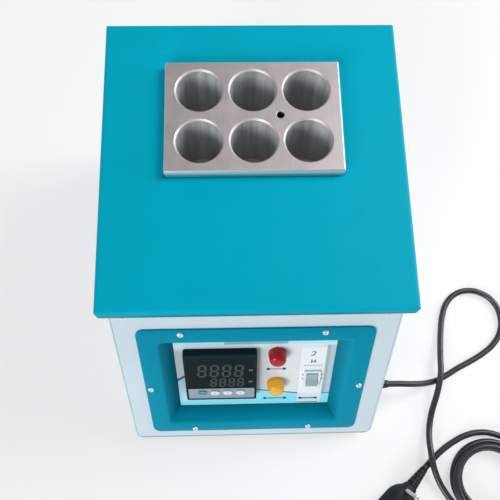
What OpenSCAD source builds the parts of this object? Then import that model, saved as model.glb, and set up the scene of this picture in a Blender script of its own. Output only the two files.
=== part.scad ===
// Dry block heater: a sheet-metal cabinet with a sloped console, an overhanging
// top cover and an aluminium heating block with six wells.
// Millimetres, +Z up, front towards -Y. The origin is under the middle of the
// cabinet on the surface that the feet stand on.

/* [Cabinet] */
// Outside width of the cabinet
body_w = 260; // [240:1:320]
// Height of the cabinet between its underside and the top cover
body_h = 200; // [190:1:240]
// Slope of the front panel back from upright, degrees
front_slope = 30; // [25:1:34]
// Thickness of the folded cabinet sheet
sheet_t = 1.2; // [0.8:0.1:2]
// Outside radius of the cabinet's two lower bends
bend_r = 8; // [4:0.5:12]
// Width of the folded-in flanges that carry the front and rear panels
flange_w = 16; // [15:1:18]
// Thickness of the front and rear panels
panel_t = 1.5; // [1:0.1:2.5]
// Open seam around the front and rear panels
seam = 0.3; // [0.2:0.05:0.6]

/* [Top cover] */
// Depth of the top cover, front to back
cover_d = 278; // [265:1:330]
// Thickness of the top cover
cover_t = 2; // [1.2:0.1:3]
// Overhang of the cover past the cabinet's sides and back
cover_over = 4; // [3:0.5:8]
// Reach of the cover out over the top edge of the front panel
cover_brow = 28; // [15:1:36]
// Height of the cover's turned-down lip
lip_h = 11; // [7:0.5:18]
// Radius of the cover's corners and bends
cover_r = 3; // [2.2:0.1:6]

/* [Feet] */
// Height of a rubber foot
foot_h = 12; // [9:0.5:20]
// Radius of a foot where it meets the cabinet
foot_r = 13; // [10:0.5:16]
// Distance from the cabinet's sides and ends to a foot's centre
foot_in = 26; // [20:1:40]

/* [Heating block] */
// Width of the heating block
block_w = 156; // [152:1:180]
// Depth of the heating block, front to back
block_d = 109; // [106:1:130]
// Height of the heating block
block_h = 85; // [82:1:100]
// How far the block stands above the top cover
block_proud = 8; // [4:0.5:14]
// Gap around the block in the top cover
block_gap = 1; // [0.6:0.1:2]
// Distance from the cover's rear edge to the block
block_back = 47; // [42:1:60]
// Bevel along the block's edges
block_bevel = 1.2; // [0.5:0.1:2]

/* [Wells] */
// Wells across the block
well_cols = 3; // [2:1:3]
// Wells from front to back
well_rows = 2; // [1:1:2]
// Radius of a well
well_r = 20.4; // [15:0.1:21]
// Depth of a well
well_depth = 66; // [40:1:68]
// Spacing of the wells across the block
well_pitch_x = 47.5; // [46:0.5:49]
// Spacing of the wells from front to back
well_pitch_y = 50; // [47:0.5:52]
// Bevel around the mouth of a well
rim_bevel = 1.4; // [0.6:0.1:1.6]
// Radius of the thermometer hole
thermo_r = 3.1; // [2:0.1:4]
// Depth of the thermometer hole
thermo_depth = 60; // [40:1:70]

/* [Front bezel] */
// Width of the bezel's opening
opening_w = 180; // [178:1:184]
// Height of the bezel's opening along the slope
opening_h = 126.5; // [125:0.5:130]
// Width of the flange to each side of the opening
bezel_side = 19.5; // [18:0.5:21]
// Height of the flange above the opening
bezel_top = 18; // [16:0.5:20]
// Height of the flange below the opening
bezel_low = 16.5; // [15:0.5:18]
// Distance from the cabinet's lower edge up to the bezel
bezel_up = 13.5; // [10:0.5:17]
// Corner radius of the bezel's flange
bezel_r = 8; // [4:0.5:12]
// Thickness of the bezel's walls
bezel_t = 2; // [1.5:0.1:3]
// Depth of the recess from the front panel's face to the control panel
recess_d = 13; // [10:0.5:18]
// How far each recess wall leans in over that depth
recess_lean = 11; // [8:0.5:12]

/* [Controls] */
// Size of the square temperature controller
ctrl_size = 72; // [68:1:74]
// Depth of the controller's case behind the control panel
ctrl_depth = 75; // [50:1:78]
// How far the controller's front stands out of the control panel
ctrl_front = 8.3; // [6:0.1:10]
// Share of the panel's spare width to the left of the controller
ctrl_share = 0.17; // [0.12:0.01:0.2]
// Height of the controller's centre above the panel's centre
ctrl_up = 2.8; // [0:0.1:6]
// Width of a controller key
key_w = 9.2; // [6:0.1:10]
// Height of a controller key
key_h = 5.8; // [4:0.1:7]
// Spacing of the controller keys
key_pitch = 13; // [12:0.1:14]
// Travel of a controller key
key_travel = 0.8; // [0.4:0.1:1]
// Share of the spare width between the controller and the lamps
lamp_share = 0.22; // [0.15:0.01:0.28]
// Height of the red lamp above the panel's centre
red_up = 30.5; // [26:0.1:36]
// Height of the amber lamp above the panel's centre
amber_up = -15.8; // [-24:0.1:-10]
// Widest radius of a lamp lens
lens_r = 9; // [7:0.1:10]
// Height of a lamp lens
lens_h = 13.3; // [8:0.1:16]
// Share of the spare width between the lamps and the rocker switch
switch_share = 0.38; // [0.3:0.01:0.42]
// Height of the rocker switch above the panel's centre
switch_up = -9.7; // [-20:0.1:10]
// Width of the rocker
rocker_w = 11.4; // [9:0.1:13]
// Length of the rocker
rocker_l = 19.6; // [17:0.1:24]
// Tilt of the rocker to each side, degrees
rocker_tilt = 9; // [6:1:12]

/* [Mains cord] */
// Diameter of the mains cord
cord_d = 7; // [6:0.1:8]
// Height of the cord's outlet above the standing surface
outlet_z = 30; // [29:0.5:36]
// Distance of the cord's outlet behind the cabinet's front edge
outlet_y = 51.7; // [48:0.1:60]

/* [Hidden] */
$fn = 48;

// Heights of the cabinet.
base_z = foot_h;
rim_z = base_z + body_h;
top_z = rim_z + cover_t;
floor_z = base_z + sheet_t;

// Front-to-back places. The front edge is the lower edge of the sloped panel.
front_run = body_h * tan(front_slope);
total_d = front_run - cover_brow + cover_d;
front_y = -total_d / 2;
cover_front_y = front_y + front_run - cover_brow;
cover_rear_y = cover_front_y + cover_d;
rear_y = cover_rear_y - cover_over;
body_d = rear_y - front_y;
cover_w = body_w + 2 * cover_over;
slope_len = body_h / cos(front_slope);
in_w = body_w - 2 * sheet_t;
far = 600;

// Heating block and what surrounds it.
block_y = cover_rear_y - block_back - block_d / 2;
block_z = top_z + block_proud - block_h;
tray_gap = 0.5;
tray_t = 1.5;
tray_floor = 2;
tray_w = block_w + 2 * (tray_gap + tray_t);
tray_d = block_d + 2 * (tray_gap + tray_t);
heater_t = 4;
clamp_t = 2;
wool_wall = 22;
wool_floor = 25;
wool_w = tray_w + 2 * wool_wall;
wool_d = tray_d + 2 * wool_wall;
gasket_h = 6;
wool_top = rim_z - gasket_h;
heater_z = block_z - tray_floor - heater_t;
clamp_z = heater_z - clamp_t;
wool_z = clamp_z - wool_floor;
case_t = 0.8;
case_z = wool_z - case_t;
leg_x = wool_w / 2 - 22;
fuse_len = 36;
leg_len = min(wool_d - 20, 2 * (rear_y - fuse_len - 4 - block_y));
leg_flange = 15;
probe_r = 3;
probe_len = 62;
probe_z = block_z + 9;
probe_out = wool_wall + 12;
probe_collar_r = 4.5;
probe_collar_h = 6;
sink_w = 70;
sink_d = 60;
sink_h = 26;
relay_w = 44;
relay_d = 57;
relay_h = 22;
relay_step = 13;
terminal_in = 60;
terminal_back = 118;
terminal_pitch = 11;
terminal_d = 20;
terminal_h = 14;

// Console: heights along the slope from the cabinet's lower edge.
bezel_w = opening_w + 2 * bezel_side;
bezel_h = opening_h + bezel_top + bezel_low;
bezel_mid = bezel_up + bezel_h / 2;
opening_low = bezel_up + bezel_low;
opening_mid = opening_low + opening_h / 2;
inner_w = opening_w - 2 * recess_lean;
inner_h = opening_h - 2 * recess_lean;
back_flange = 8;
wall_w = bezel_t / cos(atan(recess_lean / recess_d));
tray_out_w = inner_w + 2 * back_flange;
tray_out_h = inner_h + 2 * back_flange;
cutout_gap = 1.5;
cutout_w = max(opening_w + 2 * wall_w, tray_out_w) + 2 * cutout_gap;
cutout_h = max(opening_h + 2 * wall_w, tray_out_h) + 2 * cutout_gap;
screw_in = 5.5;
screw_r = 1.5;
hole_gap = 0.2;
head_r = 3.2;
head_h = 2;
flat_head_h = min(head_r - screw_r, cover_t - 0.3);
cover_screw_front = 70;
cover_screw_rear = 40;
face_screw_in = 12.8;
panel_screw_r = 1.2;
face_screw_x = body_w / 2 - face_screw_in;
face_screw_up = slope_len - 40;
bezel_screw_off = -3;
bezel_screw_at = concat(
    [for (s = [-1, 1], v = [-1, 1])
        [bezel_screw_off + s * (v > 0 ? 0.3 : 0.28) * bezel_w, v * (bezel_h / 2 - screw_in)]],
    [for (s = [-1, 1]) [s * (bezel_w / 2 - screw_in), -4.5]]);

// Sideways places of the controls: what the panel's width leaves is shared between them.
switch_rim = 2.8;
rocker_gap = 0.3;
switch_w = rocker_w + 2 * (rocker_gap + switch_rim);
spare_w = inner_w - ctrl_size - 2 * lens_r - switch_w;
ctrl_left = spare_w * ctrl_share - inner_w / 2;
lamp_left = ctrl_left + ctrl_size + spare_w * lamp_share;
switch_left = lamp_left + 2 * lens_r + spare_w * switch_share;
ctrl_x = ctrl_left + ctrl_size / 2;
lamp_x = lamp_left + lens_r;
switch_x = switch_left + switch_w / 2;

// Temperature controller.
ctrl_bevel = 1.2;
window_w = 66;
window_h = 46;
window_up = 8;
window_t = 1;
strip_w = 68;
strip_h = 17;
strip_up = strip_h / 2 + 2.5 - ctrl_size / 2;
key_up = 1.5;
strip_t = 1;
strip_in = 0.5;
case_size = ctrl_size - 5;
case_gap = 0.5;
clamp_w = 14;
clamp_arm = 26;
clamp_strip_t = 1.6;
clamp_foot = 7;
key_gap = 0.25;
key_out = 1.1;
key_lip = 0.8;
key_places = [for (i = [0:3]) (i - 1.5) * key_pitch];
key_room = strip_in + strip_t + 3.2;

// Indicator lamps and rocker switch.
lamp_body_r = 6;
lamp_body_len = 30;
switch_t = 2;
switch_depth = 17;
pivot_r = 1.2;
pivot_down = 3.5;
pivot_gap = 0.05;

// Rear panel fittings.
louvre_w = 62;
louvre_pitch = 13;
louvre_rows = 8;
louvre_r = 3.4;
louvre_t = 1;
fuse_r = 6.4;
fuse_x = -body_w / 2 + 38;
fuse_z = base_z + 32;
fuse_flange_r = 9;
rear_screw_in = sheet_t + flange_w / 2;

// Mains cord: a lead from the gland, a flat coil and a tail to the plug.
cord_r = cord_d / 2;
gland_len = 20;
outlet = [body_w / 2, front_y + outlet_y, outlet_z];
cord_sides = 10;
lead_points = [
    [150, -131, 30], [163, -131, 29], [176, -131, 25], [189, -130, 18], [201, -128, 9.5],
    [213, -125, 4.6], [226, -119, 3.7], [240, -111, 3.6], [256, -103, 3.6], [272, -94, 3.6],
    [287, -82, 3.6], [297, -66, 3.6], [299, -48, 3.6], [293, -31, 3.6], [280, -20, 3.6],
    [264, -16, 3.6], [248, -20, 3.6], [236, -31, 3.6], [229, -47, 3.6], [225, -66, 3.8],
    [222, -84, 5.8], [219, -101, 10], [217, -116, 12.6], [214, -129, 12.4], [210, -144, 9],
    [205, -159, 5.2], [201, -174, 4], [198, -190, 6.6], [197, -205, 11], [198, -219, 11.4],
    [202, -233, 8.6], [209, -247, 5.4], [219, -261, 4], [232, -273, 4], [246, -281, 4.1]
];
tail_points = [
    [305, -246, 11.4], [307, -232, 9.6], [305, -218, 6.6], [299, -205, 4.2], [288, -194, 3.6],
    [273, -187, 3.6], [257, -185, 3.6], [241, -188, 3.6], [226, -195, 3.6], [212, -204, 3.7],
    [199, -215, 3.9], [189, -224, 6]
];
coil_at = [262, -238];
coil_lift = 0.6;
coil_turns = 3;
coil_mid_r = 40;
coil_h = 2 * cord_d + 0.1;

// Plug, laid on its back edge with its pins turned up and forward.
plug_tip = [189, -224, 6];
plug_turn = 223;
plug_roll = -35;
plug_w = 32;
plug_t = 22;
plug_len = 40;
plug_corner = 8;
relief_run = 26;
plug_z = 15.2;

// Places whatever is drawn on the sloped front: x across, y up the slope, z outwards.
module on_face() {
    translate([0, front_y, base_z]) rotate([90 - front_slope, 0, 0]) children();
}

// Places on the control panel's front surface, from its centre.
module on_panel(x = 0, up = 0) {
    on_face() translate([x, opening_mid + up, -recess_d]) children();
}

// Places on the controller's front centre, z outwards from the control panel.
module on_controller() {
    on_panel(ctrl_x, ctrl_up) children();
}

// Extrudes a section drawn in X and Z between two places along Y.
module along_y(y0, y1) {
    translate([0, y1, 0]) rotate([90, 0, 0]) linear_extrude(y1 - y0) children();
}

// Centred box standing on z.
module block_at(size, z = 0) {
    translate([0, 0, z + size[2] / 2]) cube(size, center = true);
}

// Rectangle with round corners, made of true arcs.
module round_rect(w, h, r) {
    square([w - 2 * r, h], center = true);
    square([w, h - 2 * r], center = true);
    for (sx = [-1, 1], sy = [-1, 1])
        translate([sx * (w / 2 - r), sy * (h / 2 - r)]) circle(r);
}

// Rectangle standing on y = 0 with its lower corners rounded.
module tub_section(w, h, r) {
    translate([-w / 2 + r, 0]) square([w - 2 * r, h]);
    translate([-w / 2, r]) square([w, h - r]);
    for (s = [-1, 1]) translate([s * (w / 2 - r), r]) circle(r);
}

// The cabinet's inner section, drawn smaller by a margin.
module inner_section(margin = 0) {
    r = max(bend_r - sheet_t - margin, 0.5);
    translate([0, floor_z + margin])
        tub_section(in_w - 2 * margin, body_h - sheet_t - margin, r);
}

// Slab parallel to the sloped front, between two depths behind its face.
module face_slab(depth, t) {
    on_face() translate([0, slope_len / 2, -depth - t / 2]) cube([far, far, t], center = true);
}

// Four-sided funnel between a front rectangle and a back one, along -z.
module funnel(w0, h0, w1, h1, z0, z1) {
    intersection() {
        rotate([90, 0, 0]) linear_extrude(max(h0, h1) + 2, center = true)
            polygon([[-w0 / 2, z0], [w0 / 2, z0], [w1 / 2, z1], [-w1 / 2, z1]]);
        rotate([90, 0, 90]) linear_extrude(max(w0, w1) + 2, center = true)
            polygon([[-h0 / 2, z0], [h0 / 2, z0], [h1 / 2, z1], [-h1 / 2, z1]]);
    }
}

// Pan-head screw: head on z = 0 and above, shank below.
module pan_screw(r, head, h, len) {
    rotate_extrude() polygon([[0, -len], [r, -len], [r, 0], [head, 0], [head, h * 0.4],
        [head * 0.82, h * 0.8], [head * 0.45, h], [0, h]]);
}

// Flat-head screw that ends level with z = 0.
module flat_screw(r, head, h, len) {
    rotate_extrude() polygon([[0, -len], [r, -len], [r, -h], [head, 0], [0, 0]]);
}

module cabinet_tub() {
    color("lightsteelblue") {
        difference() {
            along_y(front_y, rear_y) translate([0, base_z]) tub_section(body_w, body_h, bend_r);
            along_y(front_y - 1, rear_y + 1) inner_section();
            face_slab(-far / 2, far / 2);
            for (x = [-1, 1], y = [-1, 1]) foot_place(x, y) cylinder(r = 2.2, h = far, center = true);
            translate(outlet) rotate([0, 90, 0]) cylinder(r = 6.2, h = 20, center = true);
            for (i = [-3:3], y = [-60, -20])
                translate([i * 14, y, base_z]) cube([4, 30, 3 * sheet_t], center = true);
            cover_screw_places() cylinder(r = screw_r + hole_gap, h = 20, center = true);
        }
        intersection() {
            panel_flange(front_y, rear_y);
            face_slab(panel_t, sheet_t);
        }
        panel_flange(rear_y - panel_t - sheet_t, rear_y - panel_t);
    }
}

// Ring of flange just inside the cabinet's wall, with the holes for the panel screws.
module panel_flange(y0, y1) {
    difference() {
        along_y(y0, y1) inner_section();
        along_y(y0 - 1, y1 + 1) inner_section(flange_w);
        face_screw_places() cylinder(r = screw_r, h = 30, center = true);
        rear_screw_places() cylinder(r = screw_r, h = 30, center = true);
        bezel_screw_places() cylinder(r = screw_r + hole_gap, h = 30, center = true);
    }
}

module face_screw_places() {
    on_face() for (s = [-1, 1]) translate([s * face_screw_x, face_screw_up, 0]) children();
}

module rear_screw_places() {
    for (s = [-1, 1], z = [base_z + 40, rim_z - 30])
        translate([s * (body_w / 2 - rear_screw_in), rear_y, z]) rotate([-90, 0, 0]) children();
}

module cover_screw_places() {
    for (s = [-1, 1], y = [cover_front_y + cover_screw_front, cover_rear_y - cover_screw_rear])
        translate([s * cover_w / 2, y, top_z - lip_h / 2]) rotate([0, s * 90, 0]) children();
}

module bezel_screw_places() {
    on_face() translate([0, bezel_mid, bezel_t])
        for (p = bezel_screw_at) translate([p[0], p[1], 0]) children();
}

module front_panel() {
    color("aliceblue") difference() {
        intersection() {
            along_y(front_y, rear_y) inner_section(seam);
            face_slab(0, panel_t);
        }
        on_face() translate([0, opening_mid, 0])
            cube([cutout_w, cutout_h, 30], center = true);
        face_screw_places() cylinder(r = screw_r + hole_gap, h = 20, center = true);
        bezel_screw_places() cylinder(r = screw_r, h = 20, center = true);
    }
}

// One pressed louvre: a half-round hood, open below, over a slot.
module louvre_hood() {
    intersection() {
        difference() {
            rotate([0, 90, 0]) cylinder(r = louvre_r, h = louvre_w, center = true);
            rotate([0, 90, 0])
                cylinder(r = louvre_r - louvre_t, h = louvre_w - 2 * louvre_t, center = true);
        }
        translate([-louvre_w / 2, 0, 0]) cube([louvre_w, louvre_r, louvre_r]);
    }
}

module louvre_places() {
    for (s = [-1, 1], i = [0:louvre_rows - 1])
        translate([s * (louvre_w / 2 + 12), rear_y, base_z + 62 + i * louvre_pitch]) children();
}

module rear_panel() {
    color("aliceblue") {
        difference() {
            along_y(rear_y - panel_t, rear_y) inner_section(seam);
            louvre_places() translate([-louvre_w / 2 + louvre_t, -10, 0])
                cube([louvre_w - 2 * louvre_t, 20, louvre_r - louvre_t]);
            rear_screw_places() cylinder(r = screw_r + hole_gap, h = 20, center = true);
            translate([fuse_x, rear_y, fuse_z]) rotate([90, 0, 0])
                cylinder(r = fuse_r + hole_gap, h = 20, center = true);
        }
        louvre_places() louvre_hood();
    }
}

// Outer or inner form of the cover: a low box with round edges and corners.
module cover_form(w, d, h, r) {
    intersection() {
        linear_extrude(h) round_rect(w, d, r);
        translate([0, 0, 0]) rotate([90, 0, 0]) linear_extrude(d + 2, center = true) {
            translate([-w / 2, 0]) square([w, h - r]);
            translate([-w / 2 + r, 0]) square([w - 2 * r, h]);
            for (s = [-1, 1]) translate([s * (w / 2 - r), h - r]) circle(r);
        }
        rotate([90, 0, 90]) linear_extrude(w + 2, center = true) {
            translate([-d / 2, 0]) square([d, h - r]);
            translate([-d / 2 + r, 0]) square([d - 2 * r, h]);
            for (s = [-1, 1]) translate([s * (d / 2 - r), h - r]) circle(r);
        }
    }
}

module top_cover() {
    mid_y = (cover_front_y + cover_rear_y) / 2;
    color("darkcyan") difference() {
        translate([0, mid_y, top_z - lip_h]) cover_form(cover_w, cover_d, lip_h, cover_r);
        translate([0, mid_y, top_z - lip_h - 1]) linear_extrude(lip_h - cover_t + 1)
            round_rect(cover_w - 2 * cover_t, cover_d - 2 * cover_t, max(cover_r - cover_t, 0.2));
        translate([0, block_y, top_z])
            cube([block_w + 2 * block_gap, block_d + 2 * block_gap, 30], center = true);
        cover_screw_places() {
            cylinder(r = screw_r + hole_gap, h = 12, center = true);
            translate([0, 0, -flat_head_h])
                cylinder(r1 = screw_r + hole_gap, r2 = head_r + hole_gap, h = flat_head_h + 0.01);
        }
    }
}

module gasket_frame() {
    color("dimgray") difference() {
        translate([0, block_y, wool_top])
            block_at([wool_w - 10, wool_d - 10, gasket_h]);
        translate([0, block_y, wool_top - 1])
            block_at([block_w + 2 * block_gap, block_d + 2 * block_gap, gasket_h + 2]);
    }
}

module front_bezel() {
    color("teal") on_face() difference() {
        union() {
            translate([0, bezel_mid, 0]) linear_extrude(bezel_t)
                round_rect(bezel_w, bezel_h, bezel_r);
            translate([0, opening_mid, 0])
                funnel(opening_w + 2 * wall_w, opening_h + 2 * wall_w,
                    inner_w + 2 * wall_w, inner_h + 2 * wall_w, 0.5, -recess_d);
            translate([0, opening_mid, -recess_d])
                block_at([tray_out_w, tray_out_h, bezel_t]);
        }
        translate([0, opening_mid, 0])
            funnel(opening_w, opening_h, inner_w, inner_h, bezel_t, -recess_d);
        translate([0, bezel_mid, 0]) for (p = bezel_screw_at)
            translate([p[0], p[1], 0]) cylinder(r = screw_r + hole_gap, h = 9, center = true);
        panel_corner_places() cylinder(r = panel_screw_r, h = 9, center = true);
    }
}

// Corners of the control panel, seen from the slope's own frame.
module panel_corner_places() {
    for (sx = [-1, 1], sy = [-1, 1])
        translate([sx * (tray_out_w / 2 - 3), opening_mid + sy * (tray_out_h / 2 - 3), -recess_d])
            children();
}

module control_panel() {
    color("white") difference() {
        on_panel() translate([0, 0, -panel_t]) linear_extrude(panel_t)
            round_rect(tray_out_w, tray_out_h, 2);
        on_controller() cube([case_size + case_gap, case_size + case_gap, 9], center = true);
        lamp_places() cylinder(r = lamp_body_r + hole_gap, h = 9, center = true);
        on_panel(switch_x, switch_up)
            cube([rocker_w + 2 * switch_rim - 2, rocker_l + 2 * switch_rim - 2, 9], center = true);
        on_face() panel_corner_places()
            cylinder(r = panel_screw_r + hole_gap, h = 9, center = true);
    }
}

module lamp_places() {
    for (up = [red_up, amber_up]) on_panel(lamp_x, up) children();
}

// Front frame of the controller, with a bevelled edge and pockets for its window
// and its key strip.
module controller_bezel() {
    front = ctrl_size - 2 * ctrl_bevel;
    back = front + 2 * (ctrl_front + 1);
    color("black") on_controller() difference() {
        intersection() {
            linear_extrude(ctrl_front) round_rect(ctrl_size, ctrl_size, 2.5);
            funnel(front, front, back, back, ctrl_front, -1);
        }
        translate([0, window_up, ctrl_front - window_t])
            linear_extrude(9) round_rect(window_w, window_h, 1.5);
        translate([0, strip_up, ctrl_front - key_room])
            linear_extrude(9) round_rect(strip_w, strip_h, 1.5);
    }
}

module display_window() {
    color("darkslategray") on_controller() translate([0, window_up, ctrl_front - window_t])
        linear_extrude(window_t - 0.3) round_rect(window_w, window_h, 1.5);
}

module key_outline(grow = 0) {
    r = key_h / 2 - 0.1;
    round_rect(key_w + 2 * grow, key_h + 2 * grow, r + grow);
}

module key_strip() {
    color("silver") on_controller() translate([0, strip_up, ctrl_front - strip_in - strip_t])
        linear_extrude(strip_t) difference() {
            round_rect(strip_w, strip_h, 1.5);
            for (x = key_places) translate([x, key_up]) key_outline(key_gap);
        }
}

// One controller key: a cap through the strip, a lip behind it and a stem.
module key(i, shade) {
    strip_back = ctrl_front - strip_in - strip_t;
    color(shade) on_controller() translate([key_places[i], strip_up + key_up, 0]) {
        translate([0, 0, strip_back - 0.1])
            linear_extrude(strip_t + key_out + 0.1) key_outline();
        translate([0, 0, strip_back - 0.1 - key_lip])
            linear_extrude(key_lip) key_outline(0.8);
        translate([0, 0, strip_back - 2.2]) cylinder(r = 1.4, h = 1.5);
    }
}

module set_key() { key(0, "royalblue"); }
module shift_key() { key(1, "white"); }
module up_key() { key(2, "white"); }
module down_key() { key(3, "white"); }

module controller_case() {
    tail = 9;
    color("dimgray") on_controller() difference() {
        union() {
            translate([0, 0, -ctrl_depth]) linear_extrude(ctrl_depth)
                round_rect(case_size, case_size, 2);
            translate([0, 0, -ctrl_depth - 0.01]) for (s = [-1, 1])
                translate([s * 18, 0, 0]) block_at([22, case_size - 12, 3]);
        }
        for (s = [-1, 1], i = [-4:4]) translate([s * case_size / 2, 0, -14 - 5 * (i + 5)])
            cube([1.6, case_size - 20, 2], center = true);
        for (i = [-2:2]) translate([0, i * 11, -ctrl_depth])
            cube([case_size - 14, tail - 3, 3], center = true);
    }
}

module controller_clamps() {
    color("silver") on_controller() for (s = [-1, 1]) {
        translate([s * (case_size / 2 + 0.1 + clamp_strip_t / 2), 0, -panel_t - clamp_arm / 2])
            cube([clamp_strip_t, clamp_w, clamp_arm], center = true);
        translate([s * (case_size / 2 + 0.1 + clamp_foot / 2), 0, -panel_t - 1])
            cube([clamp_foot, clamp_w, 2], center = true);
    }
}

module rocker_housing() {
    w = rocker_w + 2 * rocker_gap;
    l = rocker_l + 2 * rocker_gap;
    color("whitesmoke") on_panel(switch_x, switch_up) difference() {
        union() {
            linear_extrude(switch_t) round_rect(w + 2 * switch_rim, l + 2 * switch_rim, 1.5);
            translate([0, 0, -switch_depth])
                block_at([w + 2 * switch_rim - 3, l + 2 * switch_rim - 3, switch_depth]);
        }
        translate([0, 0, switch_t + 5 - 14]) block_at([w, l, 14]);
        translate([0, 0, switch_t - pivot_down]) rotate([0, 90, 0])
            cylinder(r = pivot_r + pivot_gap, h = w + 2.2, center = true);
    }
}

// Rocker drawn level: two faces that meet in a shallow V, ends round about the pivot.
module rocker_level() {
    half = rocker_l / 2;
    rise = pivot_down + 0.6;
    rotate([90, 0, 90]) linear_extrude(rocker_w, center = true) intersection() {
        circle(half);
        polygon([[-half, -3], [half, -3], [half, rise + half * tan(rocker_tilt)],
            [0, rise], [-half, rise + half * tan(rocker_tilt)]]);
    }
    rotate([0, 90, 0]) cylinder(r = pivot_r, h = rocker_w + 2 * rocker_gap + 1.6, center = true);
}

module rocker() {
    color("darkseagreen") on_panel(switch_x, switch_up)
        translate([0, 0, switch_t - pivot_down]) rotate([-rocker_tilt, 0, 0]) rocker_level();
}

module switch_tabs() {
    color("goldenrod") on_panel(switch_x, switch_up) for (v = [-6, 0, 6])
        translate([0, v, -switch_depth - 9]) block_at([4.8, 0.8, 9]);
}

// Jewel lens: a barrel that swells a little towards its round shoulder.
module lens(up, shade) {
    color(shade) on_panel(lamp_x, up) rotate_extrude() polygon([[0, 0], [lens_r * 0.9, 0],
        [lens_r * 0.97, lens_h * 0.2], [lens_r, lens_h * 0.5], [lens_r * 0.97, lens_h * 0.76],
        [lens_r * 0.85, lens_h * 0.91], [lens_r * 0.6, lens_h * 0.98], [0, lens_h]]);
}

module red_lens() { lens(red_up, "firebrick"); }
module amber_lens() { lens(amber_up, "orange"); }

module lamp_holders() {
    color("gainsboro") lamp_places() {
        translate([0, 0, -lamp_body_len]) cylinder(r = lamp_body_r, h = lamp_body_len);
        for (s = [-1, 1]) translate([s * 3, 0, -lamp_body_len - 8]) block_at([0.8, 3, 8]);
    }
}

module lamp_nuts() {
    color("silver") lamp_places() translate([0, 0, -panel_t - 4]) difference() {
        cylinder(r = lamp_body_r + 3, h = 4, $fn = 6);
        translate([0, 0, -1]) cylinder(r = lamp_body_r, h = 6);
    }
}

// The block's outer form: a box with its upright and top edges bevelled.
module block_form() {
    w = block_w;
    d = block_d;
    h = block_h;
    b = block_bevel;
    intersection() {
        linear_extrude(h) polygon([for (c = [[1, 1, 0], [1, 1, 1], [-1, 1, 1], [-1, 1, 0],
            [-1, -1, 0], [-1, -1, 1], [1, -1, 1], [1, -1, 0]])
            [c[0] * (w / 2 - c[2] * b), c[1] * (d / 2 - (1 - c[2]) * b)]]);
        rotate([90, 0, 0]) linear_extrude(d + 2, center = true) polygon([[-w / 2, 0], [w / 2, 0],
            [w / 2, h - b], [w / 2 - b, h], [-w / 2 + b, h], [-w / 2, h - b]]);
        rotate([90, 0, 90]) linear_extrude(w + 2, center = true) polygon([[-d / 2, 0], [d / 2, 0],
            [d / 2, h - b], [d / 2 - b, h], [-d / 2 + b, h], [-d / 2, h - b]]);
    }
}

// Blind hole down from z = 0 with a bevelled mouth and a shallow coned floor.
module bevelled_hole(r, depth, bevel) {
    cone_h = r * 0.1;
    translate([0, 0, -depth - cone_h]) cylinder(r1 = cone_h, r2 = r, h = cone_h);
    translate([0, 0, -depth]) cylinder(r = r, h = depth + 1);
    translate([0, 0, -bevel]) cylinder(r1 = r, r2 = r + bevel, h = bevel);
    cylinder(r = r + bevel, h = 1);
}

module heating_block() {
    color("silver") difference() {
        translate([0, block_y, block_z]) block_form();
        translate([0, block_y, block_z + block_h]) {
            for (i = [0:well_cols - 1], j = [0:well_rows - 1])
                translate([(i - (well_cols - 1) / 2) * well_pitch_x,
                    (j - (well_rows - 1) / 2) * well_pitch_y, 0])
                    bevelled_hole(well_r, well_depth, rim_bevel);
            translate([well_pitch_x / 2, 0, 0]) bevelled_hole(thermo_r, thermo_depth, 0.6);
        }
        probe_hole(probe_r + 0.05);
    }
}

// Level hole for the temperature probe, from the rear of the block inwards.
module probe_hole(r) {
    translate([0, block_y + block_d / 2 + probe_out - probe_len, probe_z])
        rotate([-90, 0, 0]) cylinder(r = r, h = probe_len);
}

// Open-topped box about the block's centre line.
module open_box(w, d, z0, z1, wall, bottom) {
    translate([0, block_y, z0]) difference() {
        block_at([w, d, z1 - z0]);
        block_at([w - 2 * wall, d - 2 * wall, z1 - z0], bottom);
    }
}

module block_tray() {
    color("lightgray") difference() {
        open_box(tray_w, tray_d, block_z - tray_floor, wool_top - 1, tray_t, tray_floor);
        probe_hole(probe_r + 0.3);
    }
}

module heater_plate() {
    color("peru") translate([0, block_y, heater_z]) block_at([tray_w - 8, tray_d - 8, heater_t]);
}

module heater_clamp_plate() {
    color("gray") translate([0, block_y, clamp_z]) block_at([tray_w - 4, tray_d - 4, clamp_t]);
}

module insulation() {
    color("wheat") difference() {
        translate([0, block_y, wool_z]) block_at([wool_w, wool_d, wool_top - wool_z]);
        translate([0, block_y, clamp_z]) block_at([tray_w, tray_d, far]);
        translate([0, block_y, wool_z - 1]) cylinder(r = 13, h = far);
        probe_hole(probe_r + 0.3);
    }
}

module insulation_case() {
    color("gainsboro") difference() {
        open_box(wool_w + 2 * case_t, wool_d + 2 * case_t, case_z, wool_top, case_t, case_t);
        translate([0, block_y, case_z - 1]) cylinder(r = 13, h = 4);
        probe_hole(probe_r + 0.6);
    }
}

module case_legs() {
    h = case_z - floor_z;
    t = sheet_t;
    color("gainsboro") for (s = [-1, 1])
        translate([s * leg_x, 0, floor_z]) along_y(block_y - leg_len / 2, block_y + leg_len / 2)
            polygon([[0, 0], [s * leg_flange, 0], [s * leg_flange, t], [s * t, t], [s * t, h - t],
                [s * leg_flange, h - t], [s * leg_flange, h], [0, h]]);
}

module temp_probe() {
    back = block_y + block_d / 2 + probe_out;
    color("silver") {
        probe_hole(probe_r);
        translate([0, back, probe_z]) rotate([-90, 0, 0])
            cylinder(r = probe_collar_r, h = probe_collar_h);
    }
}

module thermal_cutout() {
    h = 14;
    color("burlywood") translate([0, block_y, clamp_z - h]) {
        cylinder(r = 8, h = h);
        translate([0, 0, h - 1.5]) cylinder(r = 12, h = 1.5);
        for (s = [-1, 1]) translate([s * 4.5, 0, -7]) block_at([0.8, 5, 7.5]);
    }
}

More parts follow.
